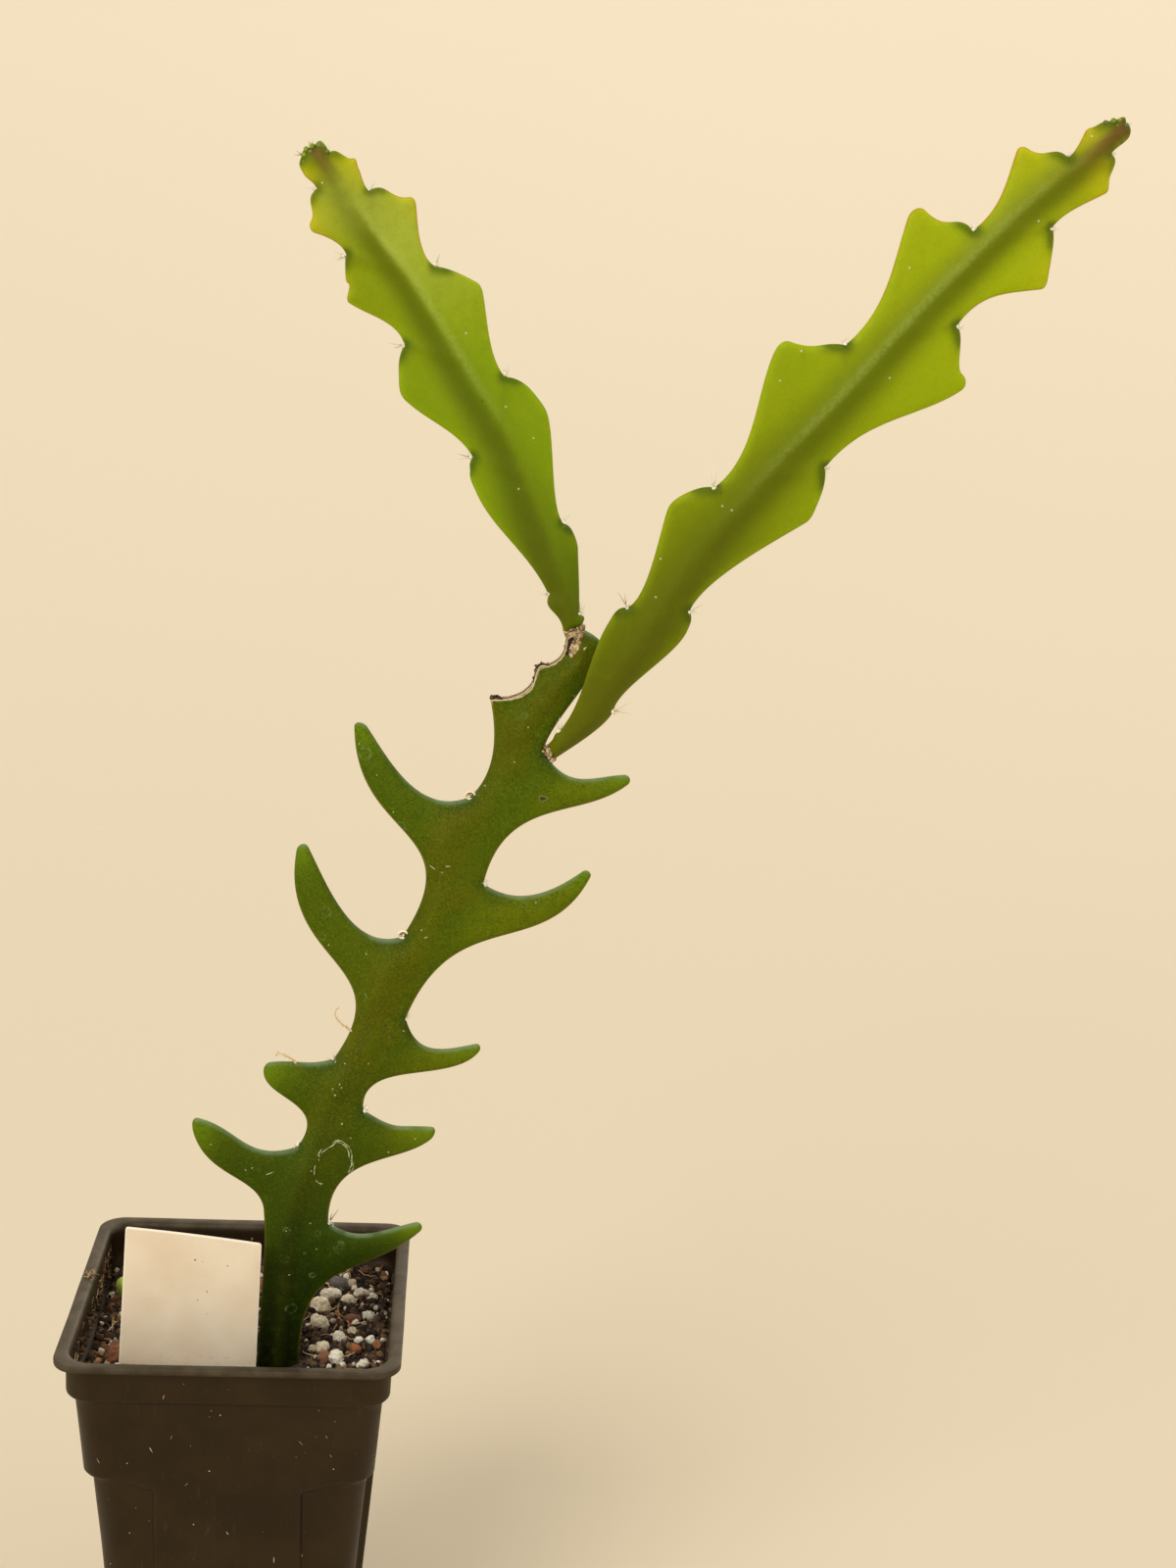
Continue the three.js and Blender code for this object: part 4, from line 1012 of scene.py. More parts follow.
def paint_label():
    paint = Paint("label_plastic", Subsurface_Weight=0.1, Subsurface_Scale=0.001)
    paint.tone = paint.mix(paint.noise(14, 4).fade(0.3, 0.7), LABEL_LIGHT, LABEL_WARM)
    paint.tint(paint.attribute("margin_distance").fade(0.5, 0.05, 0, 0.8), LABEL_EDGE)
    paint.tint(paint.specks(9, 0.2, 0.2) * 0.5, LABEL_SPECK)
    # Splashes of dirt just above the mix
    paint.tint(paint.height().fade(122, 113) * paint.noise(1.2, 4).fade(0.55, 0.7) * 0.5, LABEL_SPECK)
    rough = paint.noise(6, 3).fade(0.3, 0.7, 0.38, 0.52)
    return paint.finish(rough, [(paint.noise(1.2, 3), 0.02)])


PUMICE_TONES = tones((0.25, 184, 164, 130), (0.5, 222, 208, 178), (0.75, 240, 232, 210))
PERLITE_TONES = tones((0.25, 196, 184, 160), (0.5, 226, 218, 198), (0.75, 244, 240, 228))
PEBBLE_TONES = tones((0.25, 62, 58, 56), (0.5, 98, 92, 90), (0.75, 142, 134, 128))
PORES = colour(116, 94, 68)
PEBBLE_PORES = colour(48, 44, 42)
GRAIN_DIRT = colour(120, 90, 60)
BARK_TONES = tones((0.25, 60, 34, 24), (0.5, 108, 62, 38), (0.75, 150, 98, 64))
BARK_ORANGE = colour(176, 98, 48)
SPROUT_TONES = tones((0, 84, 104, 30), (0.6, 124, 152, 46), (1, 160, 182, 78))


def paint_stone(name, stops, pore_colour, size, rough=0.9):
    """Mineral grains with darker pores."""
    paint = Paint(name)
    paint.tone = paint.ramp(paint.noise(2.4, 5, 0.65), stops)
    pores = paint.cells(size).fade(0.34, 0.12) * paint.noise(1.5, 3).fade(0.4, 0.6, 0.2, 1)
    paint.tint(pores * 0.8, pore_colour)
    paint.tint(paint.noise(3.4, 4).fade(0.55, 0.75, 0, 0.5), GRAIN_DIRT)
    return paint.finish(rough, [(paint.noise(0.9, 5, 0.7), 0.3), (1.0 - pores, 0.2)])


def paint_bark():
    paint = Paint("bark")
    fibres = paint.noise(0.8, 5, 0.65, paint.stretched((0.25, 1, 1.6)))
    paint.tone = paint.ramp(fibres, BARK_TONES)
    paint.tint(paint.noise(3, 3).fade(0.5, 0.75, 0, 0.5), BARK_ORANGE)
    return paint.finish(0.85, [(fibres, 0.5)])


def paint_sprout():
    paint = Paint(
        "sprout",
        Subsurface_Weight=0.4,
        Subsurface_Radius=(0.6, 1.0, 0.15),
        Subsurface_Scale=0.0015,
    )
    paint.tone = paint.ramp(paint.height().fade(111, 120) + paint.noise(2, 3) * 0.2, SPROUT_TONES)
    paint.tint(paint.specks(1.4, 0.12, 0.5) * 0.6, FLECK)
    return paint.finish(0.42, [(paint.noise(1.2, 4), 0.15)])


ALL_PAINTS = (
    paint_old_stem(),
    paint_young_shoot(),
    paint_dry("cork", CORK_TONES, size=0.8, bump=0.25),
    paint_dry("wool", WOOL_TONES, size=1.5, bump=0.03, rough=0.7),
    paint_dry("growing_end", BEAD_TONES, size=1.2, bump=0.04, rough=0.45),
    paint_dry("scar_lines", SCAR_LINE_TONES, size=0.8, bump=0.05, rough=0.8),
    paint_dry("rootlet", ROOTLET_TONES, size=1.0, bump=0.1),
    paint_dry("roots", ROOT_TONES, size=2.0, bump=0.3),
    paint_dry("peat", PEAT_TONES, size=0.7, bump=0.3, rough=0.95),
    paint_dry("bark_chips", CHIP_TONES, size=0.6, bump=0.25),
    paint_dry("grit", GRIT_TONES, size=0.5, bump=0.2, rough=0.9),
    paint_pot(),
    paint_label(),
    paint_stone("pumice", PUMICE_TONES, PORES, size=0.75),
    paint_stone("perlite", PERLITE_TONES, PORES, size=0.55),
    paint_stone("pebble", PEBBLE_TONES, PEBBLE_PORES, size=1.6, rough=0.6),
    paint_bark(),
    paint_sprout(),
)
PAINTS = {paint.name: paint for paint in ALL_PAINTS}

make_blade(MAIN, "old_stem", np.array(CROWN, float))
make_blade(LEFT, "young_shoot")
make_blade(RIGHT, "young_shoot")


def add_hair(heap, foot, direction, length, radius, curl, shade):
    """One tapered hair that bends sideways."""
    side = unit(np.cross(direction, heap.rng.normal(size=3)))
    share = np.linspace(0, 1, 5)[:, None]
    path = foot + length * (share * direction + curl * share**2 * side)
    heap.add(tube(path, radius * (1 - 0.85 * share[:, 0]), 3), shade=shade)


def add_crumbs(heap, places, sizes, shades, scatter=0.0):
    """One small lump at each place."""
    rng = heap.rng
    for place in places:
        size = rng.uniform(*sizes) * np.array([1, rng.uniform(0.7, 1), rng.uniform(0.6, 1)])
        heap.add(lump(rng, size, 0.2), place + scatter * rng.normal(size=3), rng.uniform(*shades))


FELT_LUMPS = 4
WOOL_HAIRS = 26
OLD_WOOL_HAIRS = 40
WOOL_THICKNESS = 0.08
BRISTLE_THICKNESS = 0.16
BRISTLE_SHADES = [0.2, 0.6, 0.9, 1.2, 1.4]
# Towards a growing end the tufts shrink by this share, from this share of the stem's length on
TUFT_SHRINK = 0.55
TUFT_SHRINKS_FROM = 0.84


def add_tuft(stem, heap, place, size, wool, bristles=0, length=0.0):
    """Felt, curly wool and stiff bristles at an areole."""
    rng = heap.rng
    way = stem.outward(place)
    foot = stem.at(*(place + 0.3 * way))
    out = unit(stem.at(*(place + 1.3 * way)) - foot)
    front = unit(stem.at(*place, 1.0) - stem.at(*place))
    across = np.cross(out, front)
    for _ in range(FELT_LUMPS):
        felt = lump(rng, 1.05 * size * rng.uniform(0.7, 1, 3), 0.2)
        heap.add(felt, foot + 0.3 * size * rng.normal(size=3), rng.uniform(0.8, 1.1))
    for _ in range(wool):
        direction = unit(out + 0.9 * rng.normal() * front + 0.6 * rng.normal(size=3))
        start = foot + 0.45 * size * rng.normal(size=3)
        reach = size * rng.uniform(0.5, 1.1)
        curl = rng.uniform(0.3, 0.9)
        add_hair(heap, start, direction, reach, WOOL_THICKNESS, curl, rng.uniform(0.7, 1.3))
    for number in range(bristles):
        lean = (number - (bristles - 1) / 2) / bristles
        direction = unit(out + 1.1 * lean * across + 0.3 * rng.normal() * front + 0.12 * rng.normal(size=3))
        shade = rng.choice(BRISTLE_SHADES)
        reach = length * rng.uniform(0.7, 1.1)
        add_hair(heap, foot, direction, reach, BRISTLE_THICKNESS, rng.uniform(-0.1, 0.15), shade)


def make_tufts(stem, seed, length, size, sparse_above=1.0):
    """Tufts along a young shoot; bristles are few and short above a share of its length."""
    heap = Heap(seed)
    for place in stem.areoles:
        young = smoothstep(place[1], TUFT_SHRINKS_FROM * stem.length, stem.length)
        grown = 1 - TUFT_SHRINK * young
        bristles = int(heap.rng.integers(3, 6))
        reach = length * grown
        if place[1] > sparse_above * stem.length:
            bristles -= 2
            reach *= 0.5
        add_tuft(stem, heap, place, size * grown, WOOL_HAIRS, bristles, reach)
    return heap.piece(stem.node + "_tufts", stem.node, "wool")


make_tufts(LEFT, seed=21, length=4.0, size=0.85)
make_tufts(RIGHT, seed=22, length=4.4, size=0.95, sparse_above=0.42)

# Woolly areoles of the main stem, from the foot up; the upper two on the left carry a ring
LEFT_AREOLES = [stretch[-1] for stretch in MAIN.left[1:5]]
RIGHT_AREOLES = [stretch[-1] for stretch in MAIN.right[:4]]
RINGED_AREOLES = LEFT_AREOLES[2:]
RING_RADIUS = 1.15
RING_FLOCKS = 30
# Two short dark spines, each from its foot to its end
SPINES = [((13.6, 43.2), (15.6, 46.4)), ((13.5, 43.4), (14.0, 45.4))]


def add_ring(heap, centre):
    """Dry scales that curl into a ring and stand on the margin, with wool inside."""
    rng = heap.rng
    for level in (0.0, 0.5, 0.9):
        start = rng.uniform(0, 6)
        angles = np.linspace(start, start + 6.6, 24)
        wide = RING_RADIUS + 0.1 * np.sin(2 * angles + level)
        ring = centre + np.stack([wide * np.cos(angles), 0.85 * wide * np.sin(angles)], axis=1)
        loop = [MAIN.at(u, v, level) for u, v in ring]
        heap.add(tube(loop, 0.24 + 0.06 * np.sin(3 * angles), 6), shade=rng.uniform(0.7, 1.0))
    for _ in range(RING_FLOCKS):
        flock = lump(rng, (0.6, 0.5, 0.5), 0.25)
        u, v = centre + 0.42 * rng.normal(size=2)
        heap.add(flock, MAIN.at(u, v, rng.uniform(-0.9, 0.2)), rng.uniform(-0.1, 0.6))


def make_old_areoles():
    heap = Heap(seed=23)
    for areole in LEFT_AREOLES + RIGHT_AREOLES:
        place = np.array(areole, float)
        ringed = areole in RINGED_AREOLES
        add_tuft(MAIN, heap, place, 0.8 if ringed else 1.1, OLD_WOOL_HAIRS)
        if ringed:
            add_ring(heap, place + 0.75 * MAIN.outward(place))
    for foot, end in SPINES:
        path = respaced(np.array([MAIN.at(*foot), MAIN.at(*end, 0.5)]), 0.8)
        heap.add(tube(path, np.linspace(0.14, 0.05, len(path))), shade=-0.5)
    return heap.piece("main_stem_areoles", "main_stem", "wool")


make_old_areoles()

# Thin dried scratch on the front of the main stem, shaped like an upturned U
SCRATCH = [
    (11.2, 54.3), (9.7, 56), (9.2, 58.6), (9.9, 61.8), (11.9, 65), (15.1, 66.8),
    (17.6, 65.2), (19.1, 61.6), (19.2, 58.8), (18.5, 56.6),
]
# The scratch is drawn in passes: how far aside each lies, and the share of it that shows
SCRATCH_PASSES = [(0.0, 1.0), (-0.5, 0.75), (0.35, 0.5)]
SMALL_NICKS = [(37.7, 141.2), (41.7, 142), (36.6, 122.8), (-2.5, 57.3)]
SMALL_DOTS = [(15.4, 82.9), (14.3, 79.8), (28.5, 63.3), (16.2, 71.8), (2.2, 41.6), (22.7, 164.4)]
PALE_FLECK = (74.4, 199.8)
BRANCH_SCAR = (65.4, 160.6)


def draw_scratch(heap, run, width, shade):
    """A thin raised line on the front of the main stem."""
    path = [MAIN.front(u, v, 0.03) for u, v in run]
    ends = np.sin(np.linspace(0.25, math.pi - 0.25, len(path)))
    heap.add(tube(path, width * ends), shade=shade)


def make_scratches():
    heap = Heap(seed=28)
    rng = heap.rng
    line = through(SCRATCH, 0.4)
    beside = left_of(np.gradient(line, axis=0))
    for shift, share in SCRATCH_PASSES:
        drift = wander(raised(line, 30 * shift), 2.2, 8)
        route = line + beside * (shift + 0.45 * drift)[:, None] + 0.07 * rng.normal(size=line.shape)
        start = 0
        while start < len(route) - 2:
            length = int(rng.integers(3, 9))
            upper_right = smoothstep(route[start] @ [0.5, 1], 62, 72)
            if rng.uniform() < share * (0.5 + 0.5 * upper_right):
                run = route[start : start + length]
                draw_scratch(heap, run, rng.uniform(0.1, 0.2), rng.uniform(0.5, 1))
            start += length - 1
    for u, v in SMALL_NICKS:
        turn = rng.uniform(-0.6, 0.6)
        reach = rng.uniform(0.4, 1.0)
        ends = np.array([[u - reach, v - turn * reach], [u + reach, v + turn * reach]])
        draw_scratch(heap, respaced(ends, 0.4), 0.13, 0.9)
    add_crumbs(heap, [MAIN.front(u, v) for u, v in SMALL_DOTS], sizes=(0.4, 0.6), shades=(0.6, 1))
    heap.add(lump(rng, (0.9, 1.3, 0.6), 0.2), MAIN.front(*PALE_FLECK, -0.1), 1.0)
    # Raised pale rim round the small dark hollow of an old scar
    angles = np.linspace(0, FULL_TURN, 22)
    swell = 1 + 0.16 * np.sin(3 * angles + 1) + 0.08 * np.sin(7 * angles)
    rim = BRANCH_SCAR + np.stack([1.1 * swell * np.cos(angles), 0.75 * swell * np.sin(angles)], axis=1)
    heap.add(tube([MAIN.front(u, v) for u, v in rim], 0.13 * swell), shade=0.05)
    return heap.piece("main_stem_scratches", "main_stem", "scar_lines")


make_scratches()

# Tan scales that climb from the cut to the foot of the left shoot, and the dark crack through them
COLLAR = np.array([(69.3, 203.4), (70.4, 201.5), (69.9, 198.8), (71.0, 197.3), (72.9, 200.0), (74.3, 204.4)])
CRACK = [(71.2, 203.6), (70.9, 201.8), (70.3, 200.0), (70.0, 198.2)]
NUB = (62.5, 193.5)
RIGHT_NOTCH = (65.0, 172.4)
# Where crumbs lie on the left corner of the cut: across, along and out
CUT_CORNER = [(51.1, 53.8), (185.2, 185.9), (-1.8, 1.9)]
# Numbers of crumbs
CUT_CRUMBS = 230
CORNER_CRUMBS = 46
COLLAR_CRUMBS = 420
LEFT_FOOT_CRUMBS = 90
RIGHT_FOOT_CRUMBS = 60
NOTCH_CRUMBS = 90


def add_callus(heap):
    """Pale rim round the cut, the ragged dark face inside it, and crumbs on its corner and its nub."""
    rng = heap.rng
    crown = through(CROWN, 0.5)
    inward = -left_of(np.gradient(crown, axis=0))
    for side in (1, -1):
        run = crown + inward * (0.32 + 0.14 * wander(raised(crown, side * 9), 2.2, 5))[:, None]
        radii = 0.24 + 0.1 * wander(raised(crown, side * 5), 1.3, 6)
        path = [MAIN.at(u, v, side * 2.0) for u, v in run]
        heap.add(tube(path, np.r_[0.12, radii[1:-1], 0.15], 7), shade=0.85)
    face = []
    for _ in range(CUT_CRUMBS):
        at = rng.integers(0, len(crown))
        u, v = crown[at] + inward[at] * rng.uniform(-0.05, 0.4)
        face.append(MAIN.at(u, v, rng.uniform(-1.6, 1.6)))
    add_crumbs(heap, face, sizes=(0.35, 0.8), shades=(0, 0.5))
    corner = [[rng.uniform(*reach) for reach in CUT_CORNER] for _ in range(CORNER_CRUMBS)]
    add_crumbs(heap, [MAIN.at(*place) for place in corner], sizes=(0.4, 0.85), shades=(-0.1, 0.3))
    nub = [MAIN.at(*NUB, out) for out in (-0.8, -0.3, 0.1, 0.5, 0.9, 1.3)]
    add_crumbs(heap, nub, sizes=(0.7, 1.2), shades=(0.1, 0.5), scatter=0.2)


def add_collar(heap):
    """Scales that climb to the left shoot, and the dark crack through them."""
    rng = heap.rng
    collar = COLLAR.min(0) + rng.uniform(size=(COLLAR_CRUMBS, 2)) * np.ptp(COLLAR, axis=0)
    collar = collar[is_inside(collar, COLLAR)]
    before = [MAIN.front(u, v, -0.1) for u, v in collar]
    behind = [MAIN.at(u, v, -2.1) for u, v in collar[::2]]
    add_crumbs(heap, before, sizes=(0.6, 1.3), shades=(0.35, 0.95))
    add_crumbs(heap, behind, sizes=(0.7, 1.4), shades=(0.35, 0.95))
    crack = [MAIN.front(u, v, 0.25) for u, v in through(CRACK, 0.16)]
    add_crumbs(heap, crack, sizes=(0.5, 0.95), shades=(-0.4, -0.1), scatter=0.12)


def add_feet(heap):
    """Scales round the feet of both shoots, and in the notch under the right one."""
    rng = heap.rng
    foot = []
    for angle in np.linspace(0, FULL_TURN, LEFT_FOOT_CRUMBS, endpoint=False):
        u = -0.4 + (2.4 + rng.uniform(-0.3, 0.3)) * math.cos(angle)
        v = 0.7 - 0.2 * u + rng.uniform(-0.8, 0.5)
        foot.append(LEFT.at(u, v, 1.5 * math.sin(angle)))
    add_crumbs(heap, foot, sizes=(0.5, 1), shades=(0.3, 0.95))
    foot = []
    for angle in np.linspace(0, FULL_TURN, RIGHT_FOOT_CRUMBS, endpoint=False):
        u = -0.6 + 1.9 * math.cos(angle)
        v = 0.7 - 0.5 * (u + 0.6) + rng.uniform(-0.7, 0.4)
        foot.append(RIGHT.at(u, v, 1.2 * math.sin(angle)))
    add_crumbs(heap, foot, sizes=(0.5, 1), shades=(0.3, 0.95))
    start, end = MAIN.at(*RIGHT_NOTCH), RIGHT.at(-0.9, 0.9)
    notch = []
    for _ in range(NOTCH_CRUMBS):
        place = start + rng.uniform(-0.1, 1.0) * (end - start)
        notch.append(place + rng.normal(size=3) * [0.6, 0.6, 0.9])
    add_crumbs(heap, notch, sizes=(0.6, 1.2), shades=(0.1, 0.95))


def make_cork():
    """Callus round the cut, and scaly collars at the feet of the shoots."""
    heap = Heap(seed=24)
    add_callus(heap)
    add_collar(heap)
    add_feet(heap)
    u, v = BRANCH_SCAR
    hollow = [MAIN.front(u + aside, v, -0.12) for aside in (-0.3, 0, 0.3)]
    add_crumbs(heap, hollow, sizes=(0.55, 0.75), shades=(-0.1, 0.2))
    return heap.piece("main_stem_cork", "main_stem", "cork")


make_cork()

# Thin dry roots at the left margin, from foot to end: across, along and out
AERIAL_ROOTLETS = [
    [(20, 94.5, 0), (17, 97, 0.6), (15, 98.5, 1.2), (14, 100, 1.2), (13.5, 101.5, 0.6), (14.5, 102.5, 0)],
    [(4.5, 85.5, 0), (3, 88, 0.8), (1, 89.5, 1.4), (-1, 90, 1), (-1.5, 89, 0.4)],
]


def make_rootlets():
    heap = Heap(seed=25)
    rng = heap.rng
    for route in AERIAL_ROOTLETS:
        path = through([MAIN.at(*place) for place in route], 0.4)
        path = path + 0.1 * rng.normal(size=path.shape)
        radii = np.linspace(0.36, 0.15, len(path)) * (1 + 0.15 * rng.normal(size=len(path)))
        heap.add(tube(path, radii, 7), shade=0.7)
        for _ in range(9):
            at = path[rng.integers(1, len(path))]
            add_hair(heap, at, unit(rng.normal(size=3)), rng.uniform(0.6, 1.5), 0.07, 0.5, 0.9)
    return heap.piece("main_stem_rootlets", "main_stem", "rootlet")


make_rootlets()

# Crowded young lobes at the growing ends: places across and along, how far out, and size
LEFT_BEADS = [
    (-3.3, 132.9, 0.3, 1.7), (-2.7, 134.4, 0.4, 1.6), (-1.5, 135.3, 0.2, 1.7), (0.1, 135.2, 0.3, 1.6),
    (1.8, 134.4, 0.3, 2.2), (-0.9, 134.2, 0.8, 1.2), (0.8, 133.8, 0.8, 1.2), (-0.4, 133.6, -0.8, 1.8),
    (-2.4, 131.8, 0.7, 1.2), (2.6, 132.3, 0.5, 1.4),
]
RIGHT_BEADS = [
    (-3.2, 202.8, 0.3, 1.6), (-2.2, 204.2, 0.4, 1.7), (-0.9, 205.3, 0.2, 1.6), (0.6, 205.3, 0.3, 1.6),
    (1.7, 204, 0.3, 1.7), (-0.8, 203.9, 0.8, 1.3), (0.8, 203.4, 0.8, 1.3), (-0.2, 203.5, -0.8, 1.8),
    (2.2, 202.2, 0.5, 1.3),
]


def make_beads(stem, beads, seed):
    heap = Heap(seed)
    for u, v, out, size in beads:
        bead = lump(heap.rng, (size, 0.85 * size, 0.9 * size), 0.04, 3)
        heap.add(bead, stem.at(u, v, out), heap.rng.uniform(0.2, 0.8))
    return heap.piece(stem.node + "_growing_end", stem.node, "growing_end")


make_beads(LEFT, LEFT_BEADS, seed=26)
make_beads(RIGHT, RIGHT_BEADS, seed=27)

# Pot: half widths across the flats, heights and radii
POT_HEIGHT = 125
LIP_HALF = 45
LIP_THICKNESS = 1.8
LIP_ROUNDING = 0.35
MOUTH_HALF = 41.3
COLLAR_HALF = 42.3
COLLAR_BOTTOM = 114.6
BODY_TOP = 112.6
BODY_HALF_TOP = 40.4
BODY_HALF_BOTTOM = 31.3
POT_WALL = 1
FLOOR_THICKNESS = 1.6
FOOT_ROUNDING = 1.5
DRAIN_HOLE_RADIUS = 3.6
DRAIN_HOLE_OFFSET = 19
CORNER_RADIUS = 7
CORNER_STEPS = 12
# Below the shoulder the corners stand back behind four panels with a ribbed middle
SHOULDER_AT_PANEL = 86.0
SHOULDER_AT_CORNER = 88.6
SHOULDER_CLIMBS_FROM = 20
STEPPED_BELOW = 100
CORNER_RECESS = 1.9
PANEL_HALF = 19
PANEL_STEP = 1.2
# The rib up the middle of a panel: its rise, then its edge and its groove across, then its top
PANEL_RIB = 0.42
PANEL_RIB_EDGE = (3.9, 3.2)
PANEL_RIB_GROOVE = (1.0, 0.2)
PANEL_RIB_TOP = (88, 84)
PANEL_PLACES = (0, 1.5, 2.8, 3.3, 3.8, 5, 8, 11, 14, 16.5, 18.4, 18.8, 19.1, 19.4, 19.7, 20, 20.3)
# Outward directions of the four walls
WALLS = np.array([(1, 0), (0, 1), (-1, 0), (0, -1)])


def body_half(z):
    return BODY_HALF_BOTTOM + (BODY_HALF_TOP - BODY_HALF_BOTTOM) * z / BODY_TOP


def inside_half(z):
    """Half width of the space inside the pot at a height."""
    ledge = BODY_TOP - 0.2
    climbed = min(max((z - ledge) / (COLLAR_BOTTOM - ledge), 0), 1)
    low = body_half(min(z, ledge))
    return low + (COLLAR_HALF - low) * climbed - POT_WALL


def shelf(z, shoulder):
    """How far the corners stand back at a height below a shoulder."""
    return CORNER_RECESS * (1 - smoothstep(z, shoulder - 1.7, shoulder + 1.1))


def pot_ring(half, z, stepped=False):
    """One level of the pot: a rounded square whose corners stand back behind four ribbed panels."""
    straight = half - (shelf(z, SHOULDER_AT_CORNER) if stepped else 0) - CORNER_RADIUS
    last = PANEL_PLACES[-1]
    beyond = np.linspace(last, straight, 6)[1:] if straight > last else straight + np.arange(5) * 1e-3
    places = np.r_[PANEL_PLACES, beyond]
    places = np.r_[-places[:0:-1], places]
    away = np.abs(places)
    depth = np.full(len(places), float(half))
    if stepped:
        climb = smoothstep(away, SHOULDER_CLIMBS_FROM, straight)
        shoulder = SHOULDER_AT_PANEL + (SHOULDER_AT_CORNER - SHOULDER_AT_PANEL) * climb
        depth -= shelf(z, shoulder) * smoothstep(away, PANEL_HALF, PANEL_HALF + PANEL_STEP)
        rib = smoothstep(away, *PANEL_RIB_EDGE) - 0.5 * smoothstep(away, *PANEL_RIB_GROOVE)
        depth += PANEL_RIB * rib * smoothstep(z, *PANEL_RIB_TOP)
    arc = straight + CORNER_RADIUS * circle(4 * CORNER_STEPS)[1:CORNER_STEPS]
    side = np.vstack([np.stack([depth, places], axis=1), arc])
    return raised(np.vstack([side @ np.array([[x, y], [-y, x]]) for x, y in WALLS]), z)


def arc_points(half, z, radius, first, last, steps):
    """Points of an arc in the pot's section, angles in degrees from straight out."""
    angles = np.radians(np.linspace(first, last, steps))
    return [(half + radius * math.cos(a), z + radius * math.sin(a)) for a in angles]


def pot_section():
    """Half widths and heights of the pot's section, from the foot over the lip to the floor inside."""
    outside = arc_points(body_half(FOOT_ROUNDING) - FOOT_ROUNDING, FOOT_ROUNDING, FOOT_ROUNDING, -90, 0, 6)
    heights = np.r_[np.arange(6, 84, 6), np.arange(84, 94, 0.7), np.arange(94, BODY_TOP, 4)]
    outside += [(body_half(z), z) for z in heights] + [(BODY_HALF_TOP, BODY_TOP - 0.5)]
    collar = [(BODY_HALF_TOP + out, BODY_TOP + up) for out, up in ((0.1, -0.3), (0.4, 0.2), (1.0, 0.6))]
    collar += [(COLLAR_HALF - 0.4, BODY_TOP + 1.0), (COLLAR_HALF - 0.1, BODY_TOP + 1.5)]
    collar += [(COLLAR_HALF, z) for z in (COLLAR_BOTTOM, 116, 118, 120, 121.9)]
    collar += [(COLLAR_HALF + out, z) for out, z in ((0.1, 122.6), (0.4, 123.0), (1.0, 123.2))]
    edge = LIP_HALF - LIP_ROUNDING
    lip = arc_points(edge, POT_HEIGHT - LIP_THICKNESS + LIP_ROUNDING, LIP_ROUNDING, -90, 0, 5)
    lip += arc_points(edge, POT_HEIGHT - LIP_ROUNDING, LIP_ROUNDING, 0, 90, 5)
    drops = ((43.4, 0.03), (42.5, 0.08), (41.9, 0.25), (41.5, 0.7), (MOUTH_HALF, 1.5))
    lip += [(half, POT_HEIGHT - drop) for half, drop in drops] + [(MOUTH_HALF, 121.6), (MOUTH_HALF, 119)]
    heights = np.r_[117, COLLAR_BOTTOM, 114, 113.2, 112.4, 111, np.arange(106, 94, -4)]
    heights = np.r_[heights, np.arange(93.4, 84, -0.7), np.arange(80, 4, -8), FLOOR_THICKNESS]
    return outside + collar + lip + [(inside_half(z), z) for z in heights]


def covered_ring(ring, z, holes=()):
    """Triangles over a level of the pot, with round holes left open."""
    outline = ring[:, :2]
    inner = spread(outline, 2.5, 0.8)
    for hole in holes:
        inner = inner[~is_inside(inner, hole) & (distance_to_run(inner, hole, True) > 0.6)]
    points, faces = cover(outline, np.vstack([inner, *holes]))
    for hole in holes:
        faces = faces[~is_inside(points[faces].mean(axis=1), hole)]
    return raised(points, z), faces


def make_pot():
    rings = [pot_ring(half, z, z < STEPPED_BELOW) for half, z in pot_section()]
    corners = ((1, 1), (-1, 1), (-1, -1), (1, -1))
    holes = [DRAIN_HOLE_RADIUS * circle(28) + np.array(corner) * DRAIN_HOLE_OFFSET for corner in corners]
    skin = Heap()
    skin.add((np.vstack(rings), bridge(rings)))
    low_points, low_faces = covered_ring(rings[0], 0, holes)
    skin.add((low_points, low_faces[:, ::-1]))
    skin.add(covered_ring(rings[-1], FLOOR_THICKNESS, holes))
    for hole in holes:
        levels = [raised(hole, z) for z in (FLOOR_THICKNESS, FLOOR_THICKNESS / 2, 0)]
        skin.add((np.vstack(levels), bridge(levels)))
    points, faces = skin.merged()
    # Thin moulded plastic is never quite flat
    swell = 0.12 * (1 + wander(points, 22, 11)) * smoothstep(points[:, 2], 3, 12)
    away = points * [1, 1, 0]
    points = points - away / np.linalg.norm(away, axis=1)[:, None] * swell[:, None]
    piece = add_piece("pot_shell", "pot", "pot_plastic", points, faces)
    shape = bmesh.new()
    shape.from_mesh(piece.data)
    bmesh.ops.remove_doubles(shape, verts=shape.verts, dist=1e-6)
    shape.to_mesh(piece.data)
    shape.free()
    return BVHTree.FromPolygons(points.tolist(), faces.tolist())


POT_SKIN = make_pot()

# Dust on the pot: how much, how far across each side, its lowest place and its span in height
DUST_COUNT = 170
DUST_ACROSS = 34
DUST_LOW = 12
DUST_SPAN = 109
# The dust is dropped onto the walls from this far out
OUTSIDE_POT = 60


